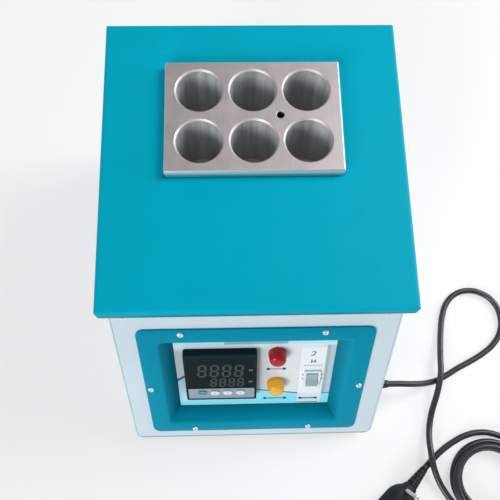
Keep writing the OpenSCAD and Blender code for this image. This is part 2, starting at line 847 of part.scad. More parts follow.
module relay_heat_sink() {
    fins = 10;
    color("darkgray") translate([0, 0, floor_z]) along_y(block_y - sink_d / 2, block_y + sink_d / 2)
        union() {
            translate([-sink_w / 2, sink_h - 5]) square([sink_w, 5]);
            for (i = [0:fins - 1])
                translate([-sink_w / 2 + i * (sink_w - 2) / (fins - 1), 0]) square([2, sink_h - 4]);
        }
}

module solid_state_relay() {
    z = floor_z + sink_h;
    color("whitesmoke") translate([0, block_y, z]) difference() {
        union() {
            block_at([relay_w, relay_d, 4]);
            block_at([relay_w, relay_d - relay_step, relay_h]);
            for (sx = [-1, 1], sy = [-1, 1])
                translate([sx * relay_w * 0.32, sy * (relay_d / 2 - 3.5), 0]) block_at([12, 7, 14]);
        }
        for (sy = [-1, 1]) translate([0, sy * (relay_d / 2 - 4.5), -1]) cylinder(r = 2.2, h = 8);
    }
}

module terminal_strip() {
    ways = 5;
    row = terminal_d / 4;
    color("ivory") translate([body_w / 2 - terminal_in, front_y + terminal_back, floor_z])
        difference() {
            block_at([ways * terminal_pitch, terminal_d, terminal_h]);
            for (i = [0:ways - 1]) translate([(i - (ways - 1) / 2) * terminal_pitch, 0, 0]) {
                for (s = [-1, 1])
                    translate([0, s * row, terminal_h * 0.43]) cylinder(r = 2.6, h = terminal_h);
                translate([0, 0, terminal_h * 0.36]) rotate([90, 0, 0])
                    cylinder(r = 2, h = 2 * terminal_d, center = true);
            }
        }
}

module fuse_holder() {
    color("dimgray") translate([fuse_x, rear_y, fuse_z]) rotate([-90, 0, 0]) difference() {
        union() {
            translate([0, 0, -fuse_len]) cylinder(r = fuse_r, h = fuse_len + 1);
            cylinder(r = fuse_flange_r, h = 1.8);
            translate([0, 0, -panel_t - 4]) cylinder(r = fuse_flange_r, h = 4, $fn = 6);
        }
        translate([0, 0, -28]) cylinder(r = 4.8, h = 40);
    }
}

module fuse_cap() {
    color("black") translate([fuse_x, rear_y, fuse_z]) rotate([-90, 0, 0]) difference() {
        union() {
            translate([0, 0, -26]) cylinder(r = 4.7, h = 27);
            translate([0, 0, 1.8]) cylinder(r = 7.4, h = 2);
            translate([0, 0, 0.9]) cylinder(r = 4.7, h = 1.5);
        }
        translate([0, 0, 3.8]) cube([9, 1.4, 1.6], center = true);
    }
}

module foot_place(sx, sy) {
    y = sy < 0 ? front_y + foot_in : rear_y - foot_in;
    translate([sx * (body_w / 2 - foot_in), y, 0]) children();
}

module foot(sx, sy) {
    color("black") foot_place(sx, sy) rotate_extrude() polygon([[4.6, 0], [foot_r * 0.78, 0],
        [foot_r * 0.84, 0.8], [foot_r, foot_h], [2.2, foot_h], [2.2, foot_h * 0.5],
        [4.6, foot_h * 0.5]]);
}

module foot_front_left() { foot(-1, -1); }
module foot_front_right() { foot(1, -1); }
module foot_rear_left() { foot(-1, 1); }
module foot_rear_right() { foot(1, 1); }

module foot_screws() {
    color("silver") for (sx = [-1, 1], sy = [-1, 1]) foot_place(sx, sy) {
        translate([0, 0, foot_h * 0.5]) rotate([180, 0, 0])
            pan_screw(2, 3.8, 2.2, foot_h * 0.5 + sheet_t + 5);
        translate([0, 0, floor_z]) difference() {
            cylinder(r = 4, h = 3.2, $fn = 6);
            translate([0, 0, -1]) cylinder(r = 2, h = 6);
        }
    }
}

module bezel_screws() {
    color("silver") bezel_screw_places() pan_screw(screw_r, head_r, head_h, bezel_t + panel_t + 4);
}

module face_screws() {
    color("silver") {
        face_screw_places() pan_screw(screw_r, head_r, head_h, panel_t + 5);
        on_face() panel_corner_places() translate([0, 0, -panel_t]) rotate([180, 0, 0])
            pan_screw(panel_screw_r, 2 * panel_screw_r, 1.6, panel_t + bezel_t);
    }
}

module rear_screws() {
    color("silver") rear_screw_places() pan_screw(screw_r, head_r, head_h, panel_t + 5);
}

module cover_screws() {
    color("silver") cover_screw_places() translate([0, 0, -0.05])
        flat_screw(screw_r, head_r, flat_head_h, cover_over + 4);
}

// Cord outlet: a bush through the cabinet wall and a ribbed, tapering strain relief.
module cord_gland() {
    color("black") translate(outlet) rotate([0, 90, 0]) difference() {
        union() {
            translate([0, 0, -14]) cylinder(r = 6, h = 14);
            rotate_extrude() polygon([[0, 0], [8, 0], [8, 2.5], [6.4, 3.6], [6.4, 4.6],
                [cord_r + 0.6, gland_len], [0, gland_len]]);
        }
        for (i = [0:3]) translate([0, 0, 5.5 + i * 3.4]) difference() {
            cylinder(r = 8, h = 1.1);
            translate([0, 0, -1]) cylinder(r = cord_r + 1.3 - i * 0.22, h = 4);
        }
    }
}

module gland_nut() {
    color("dimgray") translate(outlet) rotate([0, 90, 0]) translate([0, 0, -sheet_t - 5])
        difference() {
            cylinder(r = 9, h = 5, $fn = 6);
            translate([0, 0, -1]) cylinder(r = 6, h = 8);
        }
}

function unit(v) = v / norm(v);
function tangent(p, i) = unit(p[min(i + 1, len(p) - 1)] - p[max(i - 1, 0)]);

// Plain round tube through a list of points, one ring at each.
module tube(points, r, sides) {
    rings = [for (i = [0:len(points) - 1])
        let (t = tangent(points, i), u = unit(cross(t, [0, 0, 1])), v = cross(u, t))
        for (k = [0:sides - 1])
            points[i] + r * (cos(360 * k / sides) * u + sin(360 * k / sides) * v)];
    last = (len(points) - 1) * sides;
    sides_of = [for (i = [0:len(points) - 2], k = [0:sides - 1])
        let (a = i * sides + k, b = i * sides + (k + 1) % sides)
        each [[a, b, b + sides], [a, b + sides, a + sides]]];
    caps = [[for (k = [sides - 1:-1:0]) k], [for (k = [0:sides - 1]) last + k]];
    polyhedron(points = rings, faces = concat(sides_of, caps), convexity = 8);
}

module cord_lead() {
    color("black") tube(lead_points, cord_r, cord_sides);
}

module cord_tail() {
    color("black") tube(tail_points, cord_r, cord_sides);
}

// Outer shape of the flat coil: turns side by side, with one more lying on top.
module coil_section(grow = 0) {
    half = coil_turns * cord_r + grow;
    h = coil_h + 2 * grow;
    translate([coil_mid_r, 0]) polygon([[-half, cord_r * 0.3], [-half * 0.9, 0], [half * 0.9, 0],
        [half, cord_r * 0.3], [half, cord_d * 0.9], [half * 0.62, h], [-half * 0.62, h],
        [-half, cord_d * 0.9]]);
}

module cord_coil() {
    color("black") translate([coil_at[0], coil_at[1], coil_lift]) rotate_extrude() coil_section();
}

// Flat strap around all the coil's turns.
module cord_tie() {
    half = coil_turns * cord_r;
    t = coil_lift;
    color("gray") translate([coil_at[0], coil_at[1], 0]) rotate([0, 0, -42])
        translate([coil_mid_r, 2.5, 0]) rotate([90, 0, 0]) linear_extrude(5) difference() {
            translate([-half - t - 0.6, 0]) square([2 * (half + t + 0.6), coil_h + 2 * t + 0.3]);
            translate([-half - 0.6, t]) square([2 * half + 1.2, coil_h + 0.3]);
        }
}

// Plug frame: x into the plug along the cord, z along the pins.
module on_plug() {
    reach = relief_run;
    translate([plug_tip[0] + reach * cos(plug_turn), plug_tip[1] + reach * sin(plug_turn), plug_z])
        rotate([0, 0, plug_turn]) rotate([plug_roll, 0, 0]) children();
}

module plug_body() {
    drop = plug_z - plug_tip[2];
    color("black") {
        on_plug() hull() {
            rotate([0, 90, 0]) cylinder(r = 7.5, h = 1, $fn = 24);
            for (y = [-1, 1], z = [-1, 1], x = [14, plug_len - 4])
                translate([x, y * (plug_w / 2 - plug_corner), z * (plug_t / 2 - plug_corner)])
                    rotate([0, 90, 0]) cylinder(r = plug_corner, h = 4, $fn = 24);
        }
        translate(plug_tip) rotate([0, 0, plug_turn]) rotate([0, 90 - atan(drop / relief_run), 0])
            cylinder(r1 = cord_r + 0.6, r2 = 6.6, h = norm([relief_run, drop]) + 2);
    }
}

module plug_pins() {
    face = plug_t / 2;
    color("silver") on_plug() {
        for (s = [-1, 1]) translate([9, s * 9.5, face - 2]) plug_pin(2.54, 17);
        translate([31, 0, face - 2]) plug_pin(3.53, 22);
    }
}

module plug_pin(r, len) {
    rotate_extrude() polygon([[0, 0], [r, 0], [r, len - 1], [r - 1, len], [0, len]]);
}

cabinet_tub();
front_panel();
rear_panel();
top_cover();
gasket_frame();
front_bezel();
control_panel();
controller_bezel();
controller_case();
controller_clamps();
display_window();
key_strip();
set_key();
shift_key();
down_key();
up_key();
rocker_housing();
rocker();
switch_tabs();
red_lens();
amber_lens();
lamp_holders();
lamp_nuts();
heating_block();
block_tray();
heater_plate();
heater_clamp_plate();
insulation();
insulation_case();
case_legs();
temp_probe();
thermal_cutout();
solid_state_relay();
relay_heat_sink();
terminal_strip();
fuse_holder();
fuse_cap();
foot_front_left();
foot_front_right();
foot_rear_left();
foot_rear_right();
foot_screws();
bezel_screws();
face_screws();
rear_screws();
cover_screws();
cord_gland();
gland_nut();
cord_lead();
cord_coil();
cord_tail();
cord_tie();
plug_body();
plug_pins();
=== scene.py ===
from math import cos, pi, radians, sin

import bmesh
import bpy
from mathutils import Matrix, Vector


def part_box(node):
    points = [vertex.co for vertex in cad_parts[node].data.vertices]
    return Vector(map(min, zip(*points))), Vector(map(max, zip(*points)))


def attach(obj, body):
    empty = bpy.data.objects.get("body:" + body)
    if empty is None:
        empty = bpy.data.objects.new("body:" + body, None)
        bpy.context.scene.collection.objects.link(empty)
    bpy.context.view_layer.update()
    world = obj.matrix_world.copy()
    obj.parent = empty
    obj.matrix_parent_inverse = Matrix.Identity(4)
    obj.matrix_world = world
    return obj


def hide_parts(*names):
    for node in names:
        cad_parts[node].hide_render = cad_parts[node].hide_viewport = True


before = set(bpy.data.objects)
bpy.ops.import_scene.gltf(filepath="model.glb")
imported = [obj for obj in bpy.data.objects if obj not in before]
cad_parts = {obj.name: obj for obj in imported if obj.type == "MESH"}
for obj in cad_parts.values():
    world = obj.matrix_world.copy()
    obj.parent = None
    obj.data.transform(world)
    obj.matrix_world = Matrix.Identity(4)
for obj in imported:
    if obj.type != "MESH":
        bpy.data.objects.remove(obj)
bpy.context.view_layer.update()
mm = 0.001
root = "cabinet"

# places that several pieces share, in metres and degrees
shell = dict(frontY=-0.182735, baseZ=0.012, slope=30, blockTop=0.222)
console = dict(openingMid=0.09325, recess=0.013, controllerAt=(-0.034432, 0.0028, 0))
facePlace = (Matrix.Translation((0, shell["frontY"], shell["baseZ"]))
             @ Matrix.Rotation(radians(90 - shell["slope"]), 4, "X"))
panelPlace = facePlace @ Matrix.Translation((0, console["openingMid"], -console["recess"]))
controllerPlace = panelPlace @ Matrix.Translation(console["controllerAt"])


def addObject(name, data):
    thing = bpy.data.objects.new(name, data)
    bpy.context.scene.collection.objects.link(thing)
    return thing


# camera, turned as it looks down over the console
view = dict(place=(-0.018393, -0.214693, 0.660823), turn=(14.23, -1.138, -1.283),
            lens=41.07, sensor=36, shiftY=0.1402, clip=(0.01, 50))


def makeCamera():
    data = bpy.data.cameras.new("camera")
    data.lens = view["lens"]
    data.sensor_width = view["sensor"]
    data.shift_y = view["shiftY"]
    data.clip_start, data.clip_end = view["clip"]
    camera = addObject("camera", data)
    camera.location = view["place"]
    camera.rotation_euler = [radians(a) for a in view["turn"]]
    bpy.context.scene.camera = camera


makeCamera()
print("camera placed")


# links an input to another node's output or sets its value; colours are given without alpha
def feed(tree, socket, value):
    if hasattr(value, "is_output"):
        tree.links.new(value, socket)
    else:
        socket.default_value = value + (1,) if socket.type == "RGBA" else value


def addNode(tree, kind, inputs=None, **settings):
    node = tree.nodes.new(kind)
    for key, value in settings.items():
        setattr(node, key, value)
    for socket, value in (inputs or {}).items():
        feed(tree, node.inputs[socket], value)
    return node


def mathNode(tree, operation, a, b=0.0, clamp=False):
    node = addNode(tree, "ShaderNodeMath", {0: a, 1: b}, operation=operation, use_clamp=clamp)
    return node.outputs[0]


def ramp(tree, value, low, high, toLow=0.0, toHigh=1.0):
    node = addNode(tree, "ShaderNodeMapRange", {"Value": value, "From Min": low, "From Max": high,
                                                "To Min": toLow, "To Max": toHigh}, clamp=True)
    return node.outputs["Result"]


def mixColour(tree, mask, a, b):
    node = addNode(tree, "ShaderNodeMix", data_type="RGBA")
    for socket, value in zip([s for s in node.inputs if s.enabled], (mask, a, b)):
        feed(tree, socket, value)
    return [s for s in node.outputs if s.enabled][0]


def objectPlace(tree):
    return addNode(tree, "ShaderNodeTexCoord").outputs["Object"]


def splitAxes(tree, vector):
    return addNode(tree, "ShaderNodeSeparateXYZ", {0: vector}).outputs


# object coordinates measured from a place on the object
def localPlace(tree, place):
    back = place.inverted()
    mapping = addNode(tree, "ShaderNodeMapping", {
        "Vector": objectPlace(tree), "Location": back.translation, "Rotation": back.to_euler()})
    return mapping.outputs["Vector"]


floatKind, vectorKind = "NodeSocketFloat", "NodeSocketVector"


# node groups that several materials share
def newGroup(name, inputs, outputs):
    group = bpy.data.node_groups.new(name, "ShaderNodeTree")
    for title, kind, value in inputs:
        socket = group.interface.new_socket(title, in_out="INPUT", socket_type=kind)
        socket.default_value = value
    for title, kind in outputs:
        group.interface.new_socket(title, in_out="OUTPUT", socket_type=kind)
    enter, leave = group.nodes.new("NodeGroupInput"), group.nodes.new("NodeGroupOutput")
    return group, enter.outputs, leave.inputs


# rounds a sharp edge for the light and marks where it is
def makeEdgeGroup():
    group, enter, leave = newGroup(
        "softEdge", [("Radius", floatKind, 0.0005)], [("Normal", vectorKind), ("Edge", floatKind)])
    bevel = addNode(group, "ShaderNodeBevel", {"Radius": enter["Radius"]}, samples=6)
    soft = bevel.outputs["Normal"]
    plain = addNode(group, "ShaderNodeNewGeometry").outputs["Normal"]
    dot = addNode(group, "ShaderNodeVectorMath", {0: soft, 1: plain}, operation="DOT_PRODUCT")
    group.links.new(soft, leave["Normal"])
    group.links.new(ramp(group, dot.outputs["Value"], 0.999, 0.9), leave["Edge"])
    return group


# small raised grain over broad, faint unevenness
def makeGrainGroup():
    group, enter, leave = newGroup(
        "surfaceGrain", [("Scale", floatKind, 900.0), ("Broad", floatKind, 9.0)],
        [("Height", floatKind), ("Tone", floatKind), ("Handling", floatKind)])
    place = objectPlace(group)
    fine = addNode(group, "ShaderNodeTexNoise",
                   {"Vector": place, "Scale": enter["Scale"], "Detail": 3.0, "Roughness": 0.55})
    broad = addNode(group, "ShaderNodeTexNoise",
                    {"Vector": place, "Scale": enter["Broad"], "Detail": 4.0, "Roughness": 0.6})
    smear = addNode(group, "ShaderNodeTexNoise",
                    {"Vector": place, "Scale": mathNode(group, "MULTIPLY", enter["Broad"], 4.0),
                     "Detail": 6.0, "Roughness": 0.7, "Distortion": 0.6})
    group.links.new(fine.outputs["Fac"], leave["Height"])
    group.links.new(ramp(group, broad.outputs["Fac"], 0.3, 0.7), leave["Tone"])
    group.links.new(ramp(group, smear.outputs["Fac"], 0.35, 0.75), leave["Handling"])
    return group


# long fine streaks along one axis, as a cutter or an abrasive leaves
def makeStreakGroup():
    group, enter, leave = newGroup(
        "toolStreaks", [("Along", vectorKind, (1.0, 60.0, 60.0)), ("Scale", floatKind, 60.0)],
        [("Streak", floatKind), ("Height", floatKind)])
    stretched = addNode(group, "ShaderNodeVectorMath",
                        {0: objectPlace(group), 1: enter["Along"]}, operation="MULTIPLY")
    lines = addNode(group, "ShaderNodeTexNoise",
                    {"Vector": stretched.outputs["Vector"], "Scale": enter["Scale"],
                     "Detail": 5.0, "Roughness": 0.65})
    group.links.new(ramp(group, lines.outputs["Fac"], 0.3, 0.7), leave["Streak"])
    group.links.new(lines.outputs["Fac"], leave["Height"])
    return group


# soft-edged rectangle in the plane of X and Y, its top and bottom rising with Slant
def makeFieldGroup():
    group, enter, leave = newGroup(
        "printedField", [("Place", vectorKind, (0.0, 0.0, 0.0)), ("MidX", floatKind, 0.0),
                         ("MidY", floatKind, 0.0), ("HalfX", floatKind, 0.01),
                         ("HalfY", floatKind, 0.01), ("Slant", floatKind, 0.0)],
        [("Mask", floatKind)])
    axes = splitAxes(group, enter["Place"])
    alongX = mathNode(group, "SUBTRACT", axes["X"], enter["MidX"])
    rise = mathNode(group, "MULTIPLY", alongX, enter["Slant"])
    alongY = mathNode(group, "SUBTRACT", axes["Y"], enter["MidY"])
    alongY = mathNode(group, "SUBTRACT", alongY, rise)
    masks = []
    for value, half in ((alongX, "HalfX"), (alongY, "HalfY")):
        over = mathNode(group, "SUBTRACT", mathNode(group, "ABSOLUTE", value), enter[half])
        masks.append(ramp(group, over, 0.0002, -0.0002))
    group.links.new(mathNode(group, "MULTIPLY", *masks), leave["Mask"])
    return group


softEdge = makeEdgeGroup()
surfaceGrain = makeGrainGroup()
toolStreaks = makeStreakGroup()
printedField = makeFieldGroup()


def useGroup(tree, group, **values):
    return addNode(tree, "ShaderNodeGroup", values, node_tree=group)


def fieldMask(tree, place, left, right, low, high, slant=0.0):
    return useGroup(tree, printedField, Place=place, MidX=(left + right) / 2, MidY=(low + high) / 2,
                    HalfX=(right - left) / 2, HalfY=(high - low) / 2, Slant=slant).outputs["Mask"]


finishes = {}


def newMaterial(name, **sockets):
    material = bpy.data.materials.new(name)
    material.use_nodes = True
    finishes[name] = material
    shader = material.node_tree.nodes["Principled BSDF"]
    for key, value in sockets.items():
        shader.inputs[key.replace("_", " ")].default_value = value
    return material.node_tree, shader


def toned(colour, by):
    return tuple(min(1, c * by) for c in colour)


# gloss that changes where the surface has been handled
def setGloss(tree, shader, texture, low, high):
    gloss = ramp(tree, texture.outputs["Handling"], 0, 1, low, high)
    tree.links.new(gloss, shader.inputs["Roughness"])


def setRelief(tree, shader, height, depth, strength=1.0, **sockets):
    bump = addNode(tree, "ShaderNodeBump",
                   {"Strength": strength, "Distance": depth, "Height": height, **sockets})
    tree.links.new(bump.outputs["Normal"], shader.inputs["Normal"])


# moulded or painted surface: toned colour, handled gloss, grain, and edges worn least where clean
def coated(name, colour, worn, rough, grain=900.0, depth=0.00002, edge=0.0005, toneBy=0.06,
           wear=0.5, cleanWear=0.35, handling=0.08, shade=None, shadeTo=0.6, **sockets):
    tree, shader = newMaterial(name, **sockets)
    texture = useGroup(tree, surfaceGrain, Scale=grain, Broad=9.0)
    corner = useGroup(tree, softEdge, Radius=edge)
    base = mixColour(tree, texture.outputs["Tone"],
                     toned(colour, 1 - toneBy), toned(colour, 1 + toneBy))
    if shade is not None:
        base = mixColour(tree, shade(tree), base, toned(colour, shadeTo))
    edgeMask = mathNode(tree, "MULTIPLY", corner.outputs["Edge"], wear)
    edgeMask = mathNode(tree, "MULTIPLY", edgeMask,
                        ramp(tree, texture.outputs["Handling"], 0.1, 0.9, cleanWear, 1.0))
    base = mixColour(tree, edgeMask, base, worn)
    tree.links.new(base, shader.inputs["Base Color"])
    setGloss(tree, shader, texture, rough - handling, rough + handling)
    setRelief(tree, shader, texture.outputs["Height"], depth, Normal=corner.outputs["Normal"])


# bare metal with streaks left by its making
def bareMetal(name, colour, rough, along=(1.0, 60.0, 60.0), scale=60.0, depth=0.000004,
              edge=0.0003, streakBy=0.1, edgeBy=1.25, wear=0.7, gloss=(-0.06, 0.08)):
    tree, shader = newMaterial(name, Metallic=1.0)
    texture = useGroup(tree, surfaceGrain, Scale=600.0, Broad=14.0)
    lines = useGroup(tree, toolStreaks, Along=along, Scale=scale)
    corner = useGroup(tree, softEdge, Radius=edge)
    base = mixColour(tree, lines.outputs["Streak"],
                     toned(colour, 1 - streakBy), toned(colour, 1 + streakBy))
    edgeMask = mathNode(tree, "MULTIPLY", corner.outputs["Edge"], wear)
    base = mixColour(tree, edgeMask, base, toned(colour, edgeBy))
    tree.links.new(base, shader.inputs["Base Color"])
    setGloss(tree, shader, texture, rough + gloss[0], rough + gloss[1])
    setRelief(tree, shader, lines.outputs["Height"], depth, Normal=corner.outputs["Normal"])


# a painted shade that grows from one height down to another
def shadeDown(start, end):
    return lambda tree: ramp(tree, splitAxes(tree, objectPlace(tree))["Z"], start, end)


# a painted shade that grows behind the sloped front, most on the left wall and in the lower right
# corner
recessShadeTone = dict(start=0.001, plain=0.72, leftWall=(-0.0795, -0.0855), right=(0.060, 0.080),
                  lower=(0.046, 0.040))


def recessShade(tree):
    axes = splitAxes(tree, localPlace(tree, facePlace))
    deep = ramp(tree, axes["Z"], recessShadeTone["start"], -console["recess"])
    left = ramp(tree, axes["X"], *recessShadeTone["leftWall"], recessShadeTone["plain"], 1.0)
    corner = mathNode(tree, "MULTIPLY", ramp(tree, axes["X"], *recessShadeTone["right"]),
                      ramp(tree, axes["Y"], *recessShadeTone["lower"]))
    return mathNode(tree, "MULTIPLY", deep, mathNode(tree, "MAXIMUM", left, corner))


# each with its colour, its colour where worn, and its roughness
# the cabinet is painted darker where its sheet turns under at the bottom, a painted shade
coated("cabinetPaint", (0.6, 0.72, 0.79), (0.7, 0.8, 0.86), 0.4, grain=700.0, depth=0.00003,
       toneBy=0.03, shade=shadeDown(0.0146, 0.0126), shadeTo=0.5, Specular_IOR_Level=0.3)
# the cover's folded lip is painted darker, a painted shade below the top's edge
coated("coverPaint", (0.0, 0.38, 0.53), (0.03, 0.5, 0.63), 0.42, grain=800.0, toneBy=0.04,
       edge=0.0016, shade=shadeDown(0.2125, 0.2085), Specular_IOR_Level=0.06)
# the console's recess carries a painted shade, deepest on its left wall and in its lower right
# corner
coated("bezelPlastic", (0.0, 0.265, 0.4), (0.0, 0.34, 0.47), 0.38, grain=1100.0, toneBy=0.05,
       wear=0.35, shade=recessShade, shadeTo=0.44, Specular_IOR_Level=0.05)
coated("controllerPlastic", (0.008, 0.021, 0.029), (0.02, 0.04, 0.05), 0.5, grain=1800.0,
       depth=0.00001, Specular_IOR_Level=0.05)
coated("keyStripPlastic", (0.29, 0.37, 0.43), (0.4, 0.47, 0.5), 0.42, grain=1600.0,
       depth=0.00001, edge=0.0003, Metallic=0.3)
# the blue key's edge is painted pale all round
coated("blueKey", (0.1, 0.34, 0.48), (0.45, 0.62, 0.7), 0.5, edge=0.0008, wear=0.9)
coated("whiteKey", (0.72, 0.8, 0.83), (0.85, 0.88, 0.9), 0.5, edge=0.0006)
coated("switchPlastic", (0.76, 0.82, 0.87), (0.85, 0.88, 0.9), 0.35, edge=0.0004)
coated("rockerPlastic", (0.32, 0.45, 0.47), (0.45, 0.57, 0.58), 0.4)
coated("plugRubber", (0.013, 0.018, 0.02), (0.04, 0.045, 0.048), 0.62, grain=1300.0,
       depth=0.00004, Specular_IOR_Level=0.25)
coated("blackPlastic", (0.02, 0.02, 0.022), (0.07, 0.07, 0.07), 0.45)
coated("footRubber", (0.02, 0.02, 0.02), (0.06, 0.06, 0.06), 0.75, depth=0.00006)
coated("gasketFoam", (0.05, 0.05, 0.05), (0.08, 0.08, 0.08), 0.9, grain=1400.0, depth=0.0001)
coated("wool", (0.75, 0.72, 0.64), (0.8, 0.78, 0.7), 0.95, grain=500.0, depth=0.0004, toneBy=0.15)
coated("ceramic", (0.55, 0.45, 0.32), (0.65, 0.55, 0.45), 0.7)
coated("relayPlastic", (0.78, 0.78, 0.74), (0.85, 0.85, 0.82), 0.45)
coated("mica", (0.35, 0.22, 0.11), (0.5, 0.36, 0.2), 0.5, toneBy=0.2)
coated("tiePlastic", (0.35, 0.36, 0.38), (0.5, 0.5, 0.52), 0.5, edge=0.0004)
coated("segmentPrint", (0.042, 0.06, 0.052), (0.05, 0.07, 0.06), 0.4, Specular_IOR_Level=0.3)
coated("inkMark", (0.03, 0.05, 0.08), (0.05, 0.08, 0.1), 0.5, toneBy=0.2)
coated("blueInk", (0.13, 0.27, 0.38), (0.2, 0.4, 0.5), 0.5, toneBy=0.2)
coated("labelPrint", (0.16, 0.19, 0.2), (0.2, 0.22, 0.23), 0.5)
coated("slateInk", (0.13, 0.15, 0.17), (0.2, 0.22, 0.24), 0.5, toneBy=0.2)
coated("lilacInk", (0.4, 0.34, 0.48), (0.5, 0.44, 0.55), 0.5, toneBy=0.2)
coated("greyInk", (0.38, 0.42, 0.46), (0.5, 0.5, 0.5), 0.5, toneBy=0.2)
bareMetal("platedSteel", (0.86, 0.92, 0.94), 0.38, along=(1.0, 1.0, 1.0), scale=400.0)
bareMetal("sheetSteel", (0.5, 0.5, 0.51), 0.4)
bareMetal("sinkAluminium", (0.6, 0.6, 0.61), 0.35, along=(60.0, 1.0, 60.0))
bareMetal("brassTab", (0.75, 0.55, 0.25), 0.3)
bareMetal("pinMetal", (0.68, 0.66, 0.62), 0.24, along=(1.0, 1.0, 1.0), scale=300.0)

# milled block: cutter marks on top, bored walls with upright streaks and a dull floor, a painted
# reflection of the cover on its sides, a painted highlight on its edges and painted shade in its
# small bore; a change over some depth is given by where it starts and ends under the top
milled = dict(
    face=((0.63, 0.565, 0.565), (0.71, 0.64, 0.64)), tint=(0.71, 0.62, 0.66),
    wall=((0.33, 0.35, 0.36), (0.74, 0.78, 0.8)), lowWall=(0.6, 0.53, 0.51),
    floor=(0.8, 0.7, 0.67),
    # the small bore's walls are painted dark, a painted shade
    hole=(0.09, 0.06, 0.06), holeAt=(0.02375, 0.081235), holeHalf=0.0045,
    # the sides and a thin border of the top face are painted teal, paler at the top: a painted
    # reflection of the cover
    side=((0.68, 0.87, 0.93), (0.1, 0.37, 0.44)), border=0.0012,
    # the edges are painted paler, a painted highlight
    edge=(0.85, 0.9, 0.91), front=(0.43, 0.47, 0.48), frontFrom=0.0013, frontTo=0.0009,
    tintBy=0.35, lowWallBy=0.6, edgeBy=0.5, metallic=(0.92, 0.4), gloss=(0.46, 0.58), rimGloss=0.1,
    edgeRadius=0.0004, relief=0.000005, wallRelief=4.0,
    depths=dict(lowWall=(0.03, 0.064), floor=(0.0655, 0.0661), inside=(0.0013, 0.0022),
                hole=(0.0001, 0.0004), side=(0.001, 0.006), front=(0.0014, 0.001),
                rim=(0.0001, 0.0003)),
)


def makeBlockMaterial():
    tree, shader = newMaterial("milledAluminium")
    place = objectPlace(tree)
    axes = splitAxes(tree, place)
    low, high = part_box("heating_block")

    def below(name, *to):
        start, end = milled["depths"][name]
        return ramp(tree, axes["Z"], shell["blockTop"] - start, shell["blockTop"] - end, *to)

    def paint(colour, mask, name):
        return mixColour(tree, mask, colour, milled[name])

    texture = useGroup(tree, surfaceGrain, Scale=500.0, Broad=16.0)
    lines = useGroup(tree, toolStreaks, Along=(40.0, 1.0, 1.0), Scale=30.0)
    upright = useGroup(tree, toolStreaks, Along=(1.0, 1.0, 0.06), Scale=130.0)
    corner = useGroup(tree, softEdge, Radius=milled["edgeRadius"])
    face = mixColour(tree, lines.outputs["Streak"], *milled["face"])
    tint = mathNode(tree, "MULTIPLY", texture.outputs["Tone"], milled["tintBy"])
    face = paint(face, tint, "tint")
    wall = mixColour(tree, upright.outputs["Streak"], *milled["wall"])
    wall = paint(wall, below("lowWall", 0.0, milled["lowWallBy"]), "lowWall")
    wall = paint(wall, below("floor"), "floor")
    inside = below("inside")
    colour = mixColour(tree, inside, face, wall)
    # painted shade inside the small bore, which also keeps the painted edge highlight off its rim
    x, y, half, border = *milled["holeAt"], milled["holeHalf"], milled["border"]
    hole = fieldMask(tree, place, x - half, x + half, y - half, y + half)
    hole = mathNode(tree, "MULTIPLY", hole, below("hole"))
    colour = paint(colour, hole, "hole")
    # painted reflection of the teal cover down the block's sides and along the border of its top
    side = mixColour(tree, below("side"), *milled["side"])
    within = fieldMask(tree, place, low[0] + border, high[0] - border,
                       low[1] + border, high[1] - border)
    colour = mixColour(tree, within, side, colour)
    # painted highlight along the block's edges, kept off the small bore
    edgeMask = mathNode(tree, "MULTIPLY", corner.outputs["Edge"],
                        ramp(tree, hole, 0, 1, milled["edgeBy"], 0.0))
    colour = paint(colour, edgeMask, "edge")
    # the bevel along the front catches the light, so it is toned down
    front = ramp(tree, axes["Y"], low[1] + milled["frontFrom"], low[1] + milled["frontTo"])
    colour = paint(colour, mathNode(tree, "MULTIPLY", front, below("front")), "front")
    tree.links.new(colour, shader.inputs["Base Color"])
    tree.links.new(ramp(tree, inside, 0, 1, *milled["metallic"]), shader.inputs["Metallic"])
    gloss = ramp(tree, texture.outputs["Handling"], 0, 1, *milled["gloss"])
    rim = mathNode(tree, "SUBTRACT", below("rim"), inside)
    rim = mathNode(tree, "MULTIPLY", rim, milled["rimGloss"])
    tree.links.new(mathNode(tree, "ADD", gloss, rim), shader.inputs["Roughness"])
    walls = mathNode(tree, "MULTIPLY", upright.outputs["Height"], inside)
    walls = mathNode(tree, "MULTIPLY", walls, milled["wallRelief"])
    setRelief(tree, shader, mathNode(tree, "ADD", lines.outputs["Height"], walls),
              milled["relief"], Normal=corner.outputs["Normal"])


# printed film: grey ground, a white column, and a blue wave under a thin line that falls away
# from the controller and levels out to the right; the grey of the ground is a painted shadow beside
# the controller, darker still along the left edge
fields = dict(
    # the ground colour is the tone of the painted shadow, the pale one is the ground clear of it,
    # and shade is a painted shade along the left edge
    ground=(0.55, 0.585, 0.62), white=(0.85, 0.9, 0.95), blue=(0.27, 0.8, 0.95),
    paleBlue=(0.5, 0.79, 0.9), line=(0.015, 0.045, 0.08), teal=(0.2, 0.5, 0.6),
    grey=(0.38, 0.45, 0.47), sky=(0.47, 0.61, 0.73), shine=(0.47, 0.82, 0.93),
    crown=(0.73, 0.83, 0.88), litGround=(0.75, 0.79, 0.83), mist=(0.3, 0.5, 0.58),
    shade=(0.42, 0.47, 0.52),
)
# soft changes of the ground along one axis: from the painted shadow beside the controller to the
# pale ground, a painted shade along the left edge, and a paler crown at the top
washes = [("X", 0.008, 0.026, "litGround"), ("X", -0.060, -0.075, "shade"),
          ("Y", 0.034, 0.0435, "crown")]
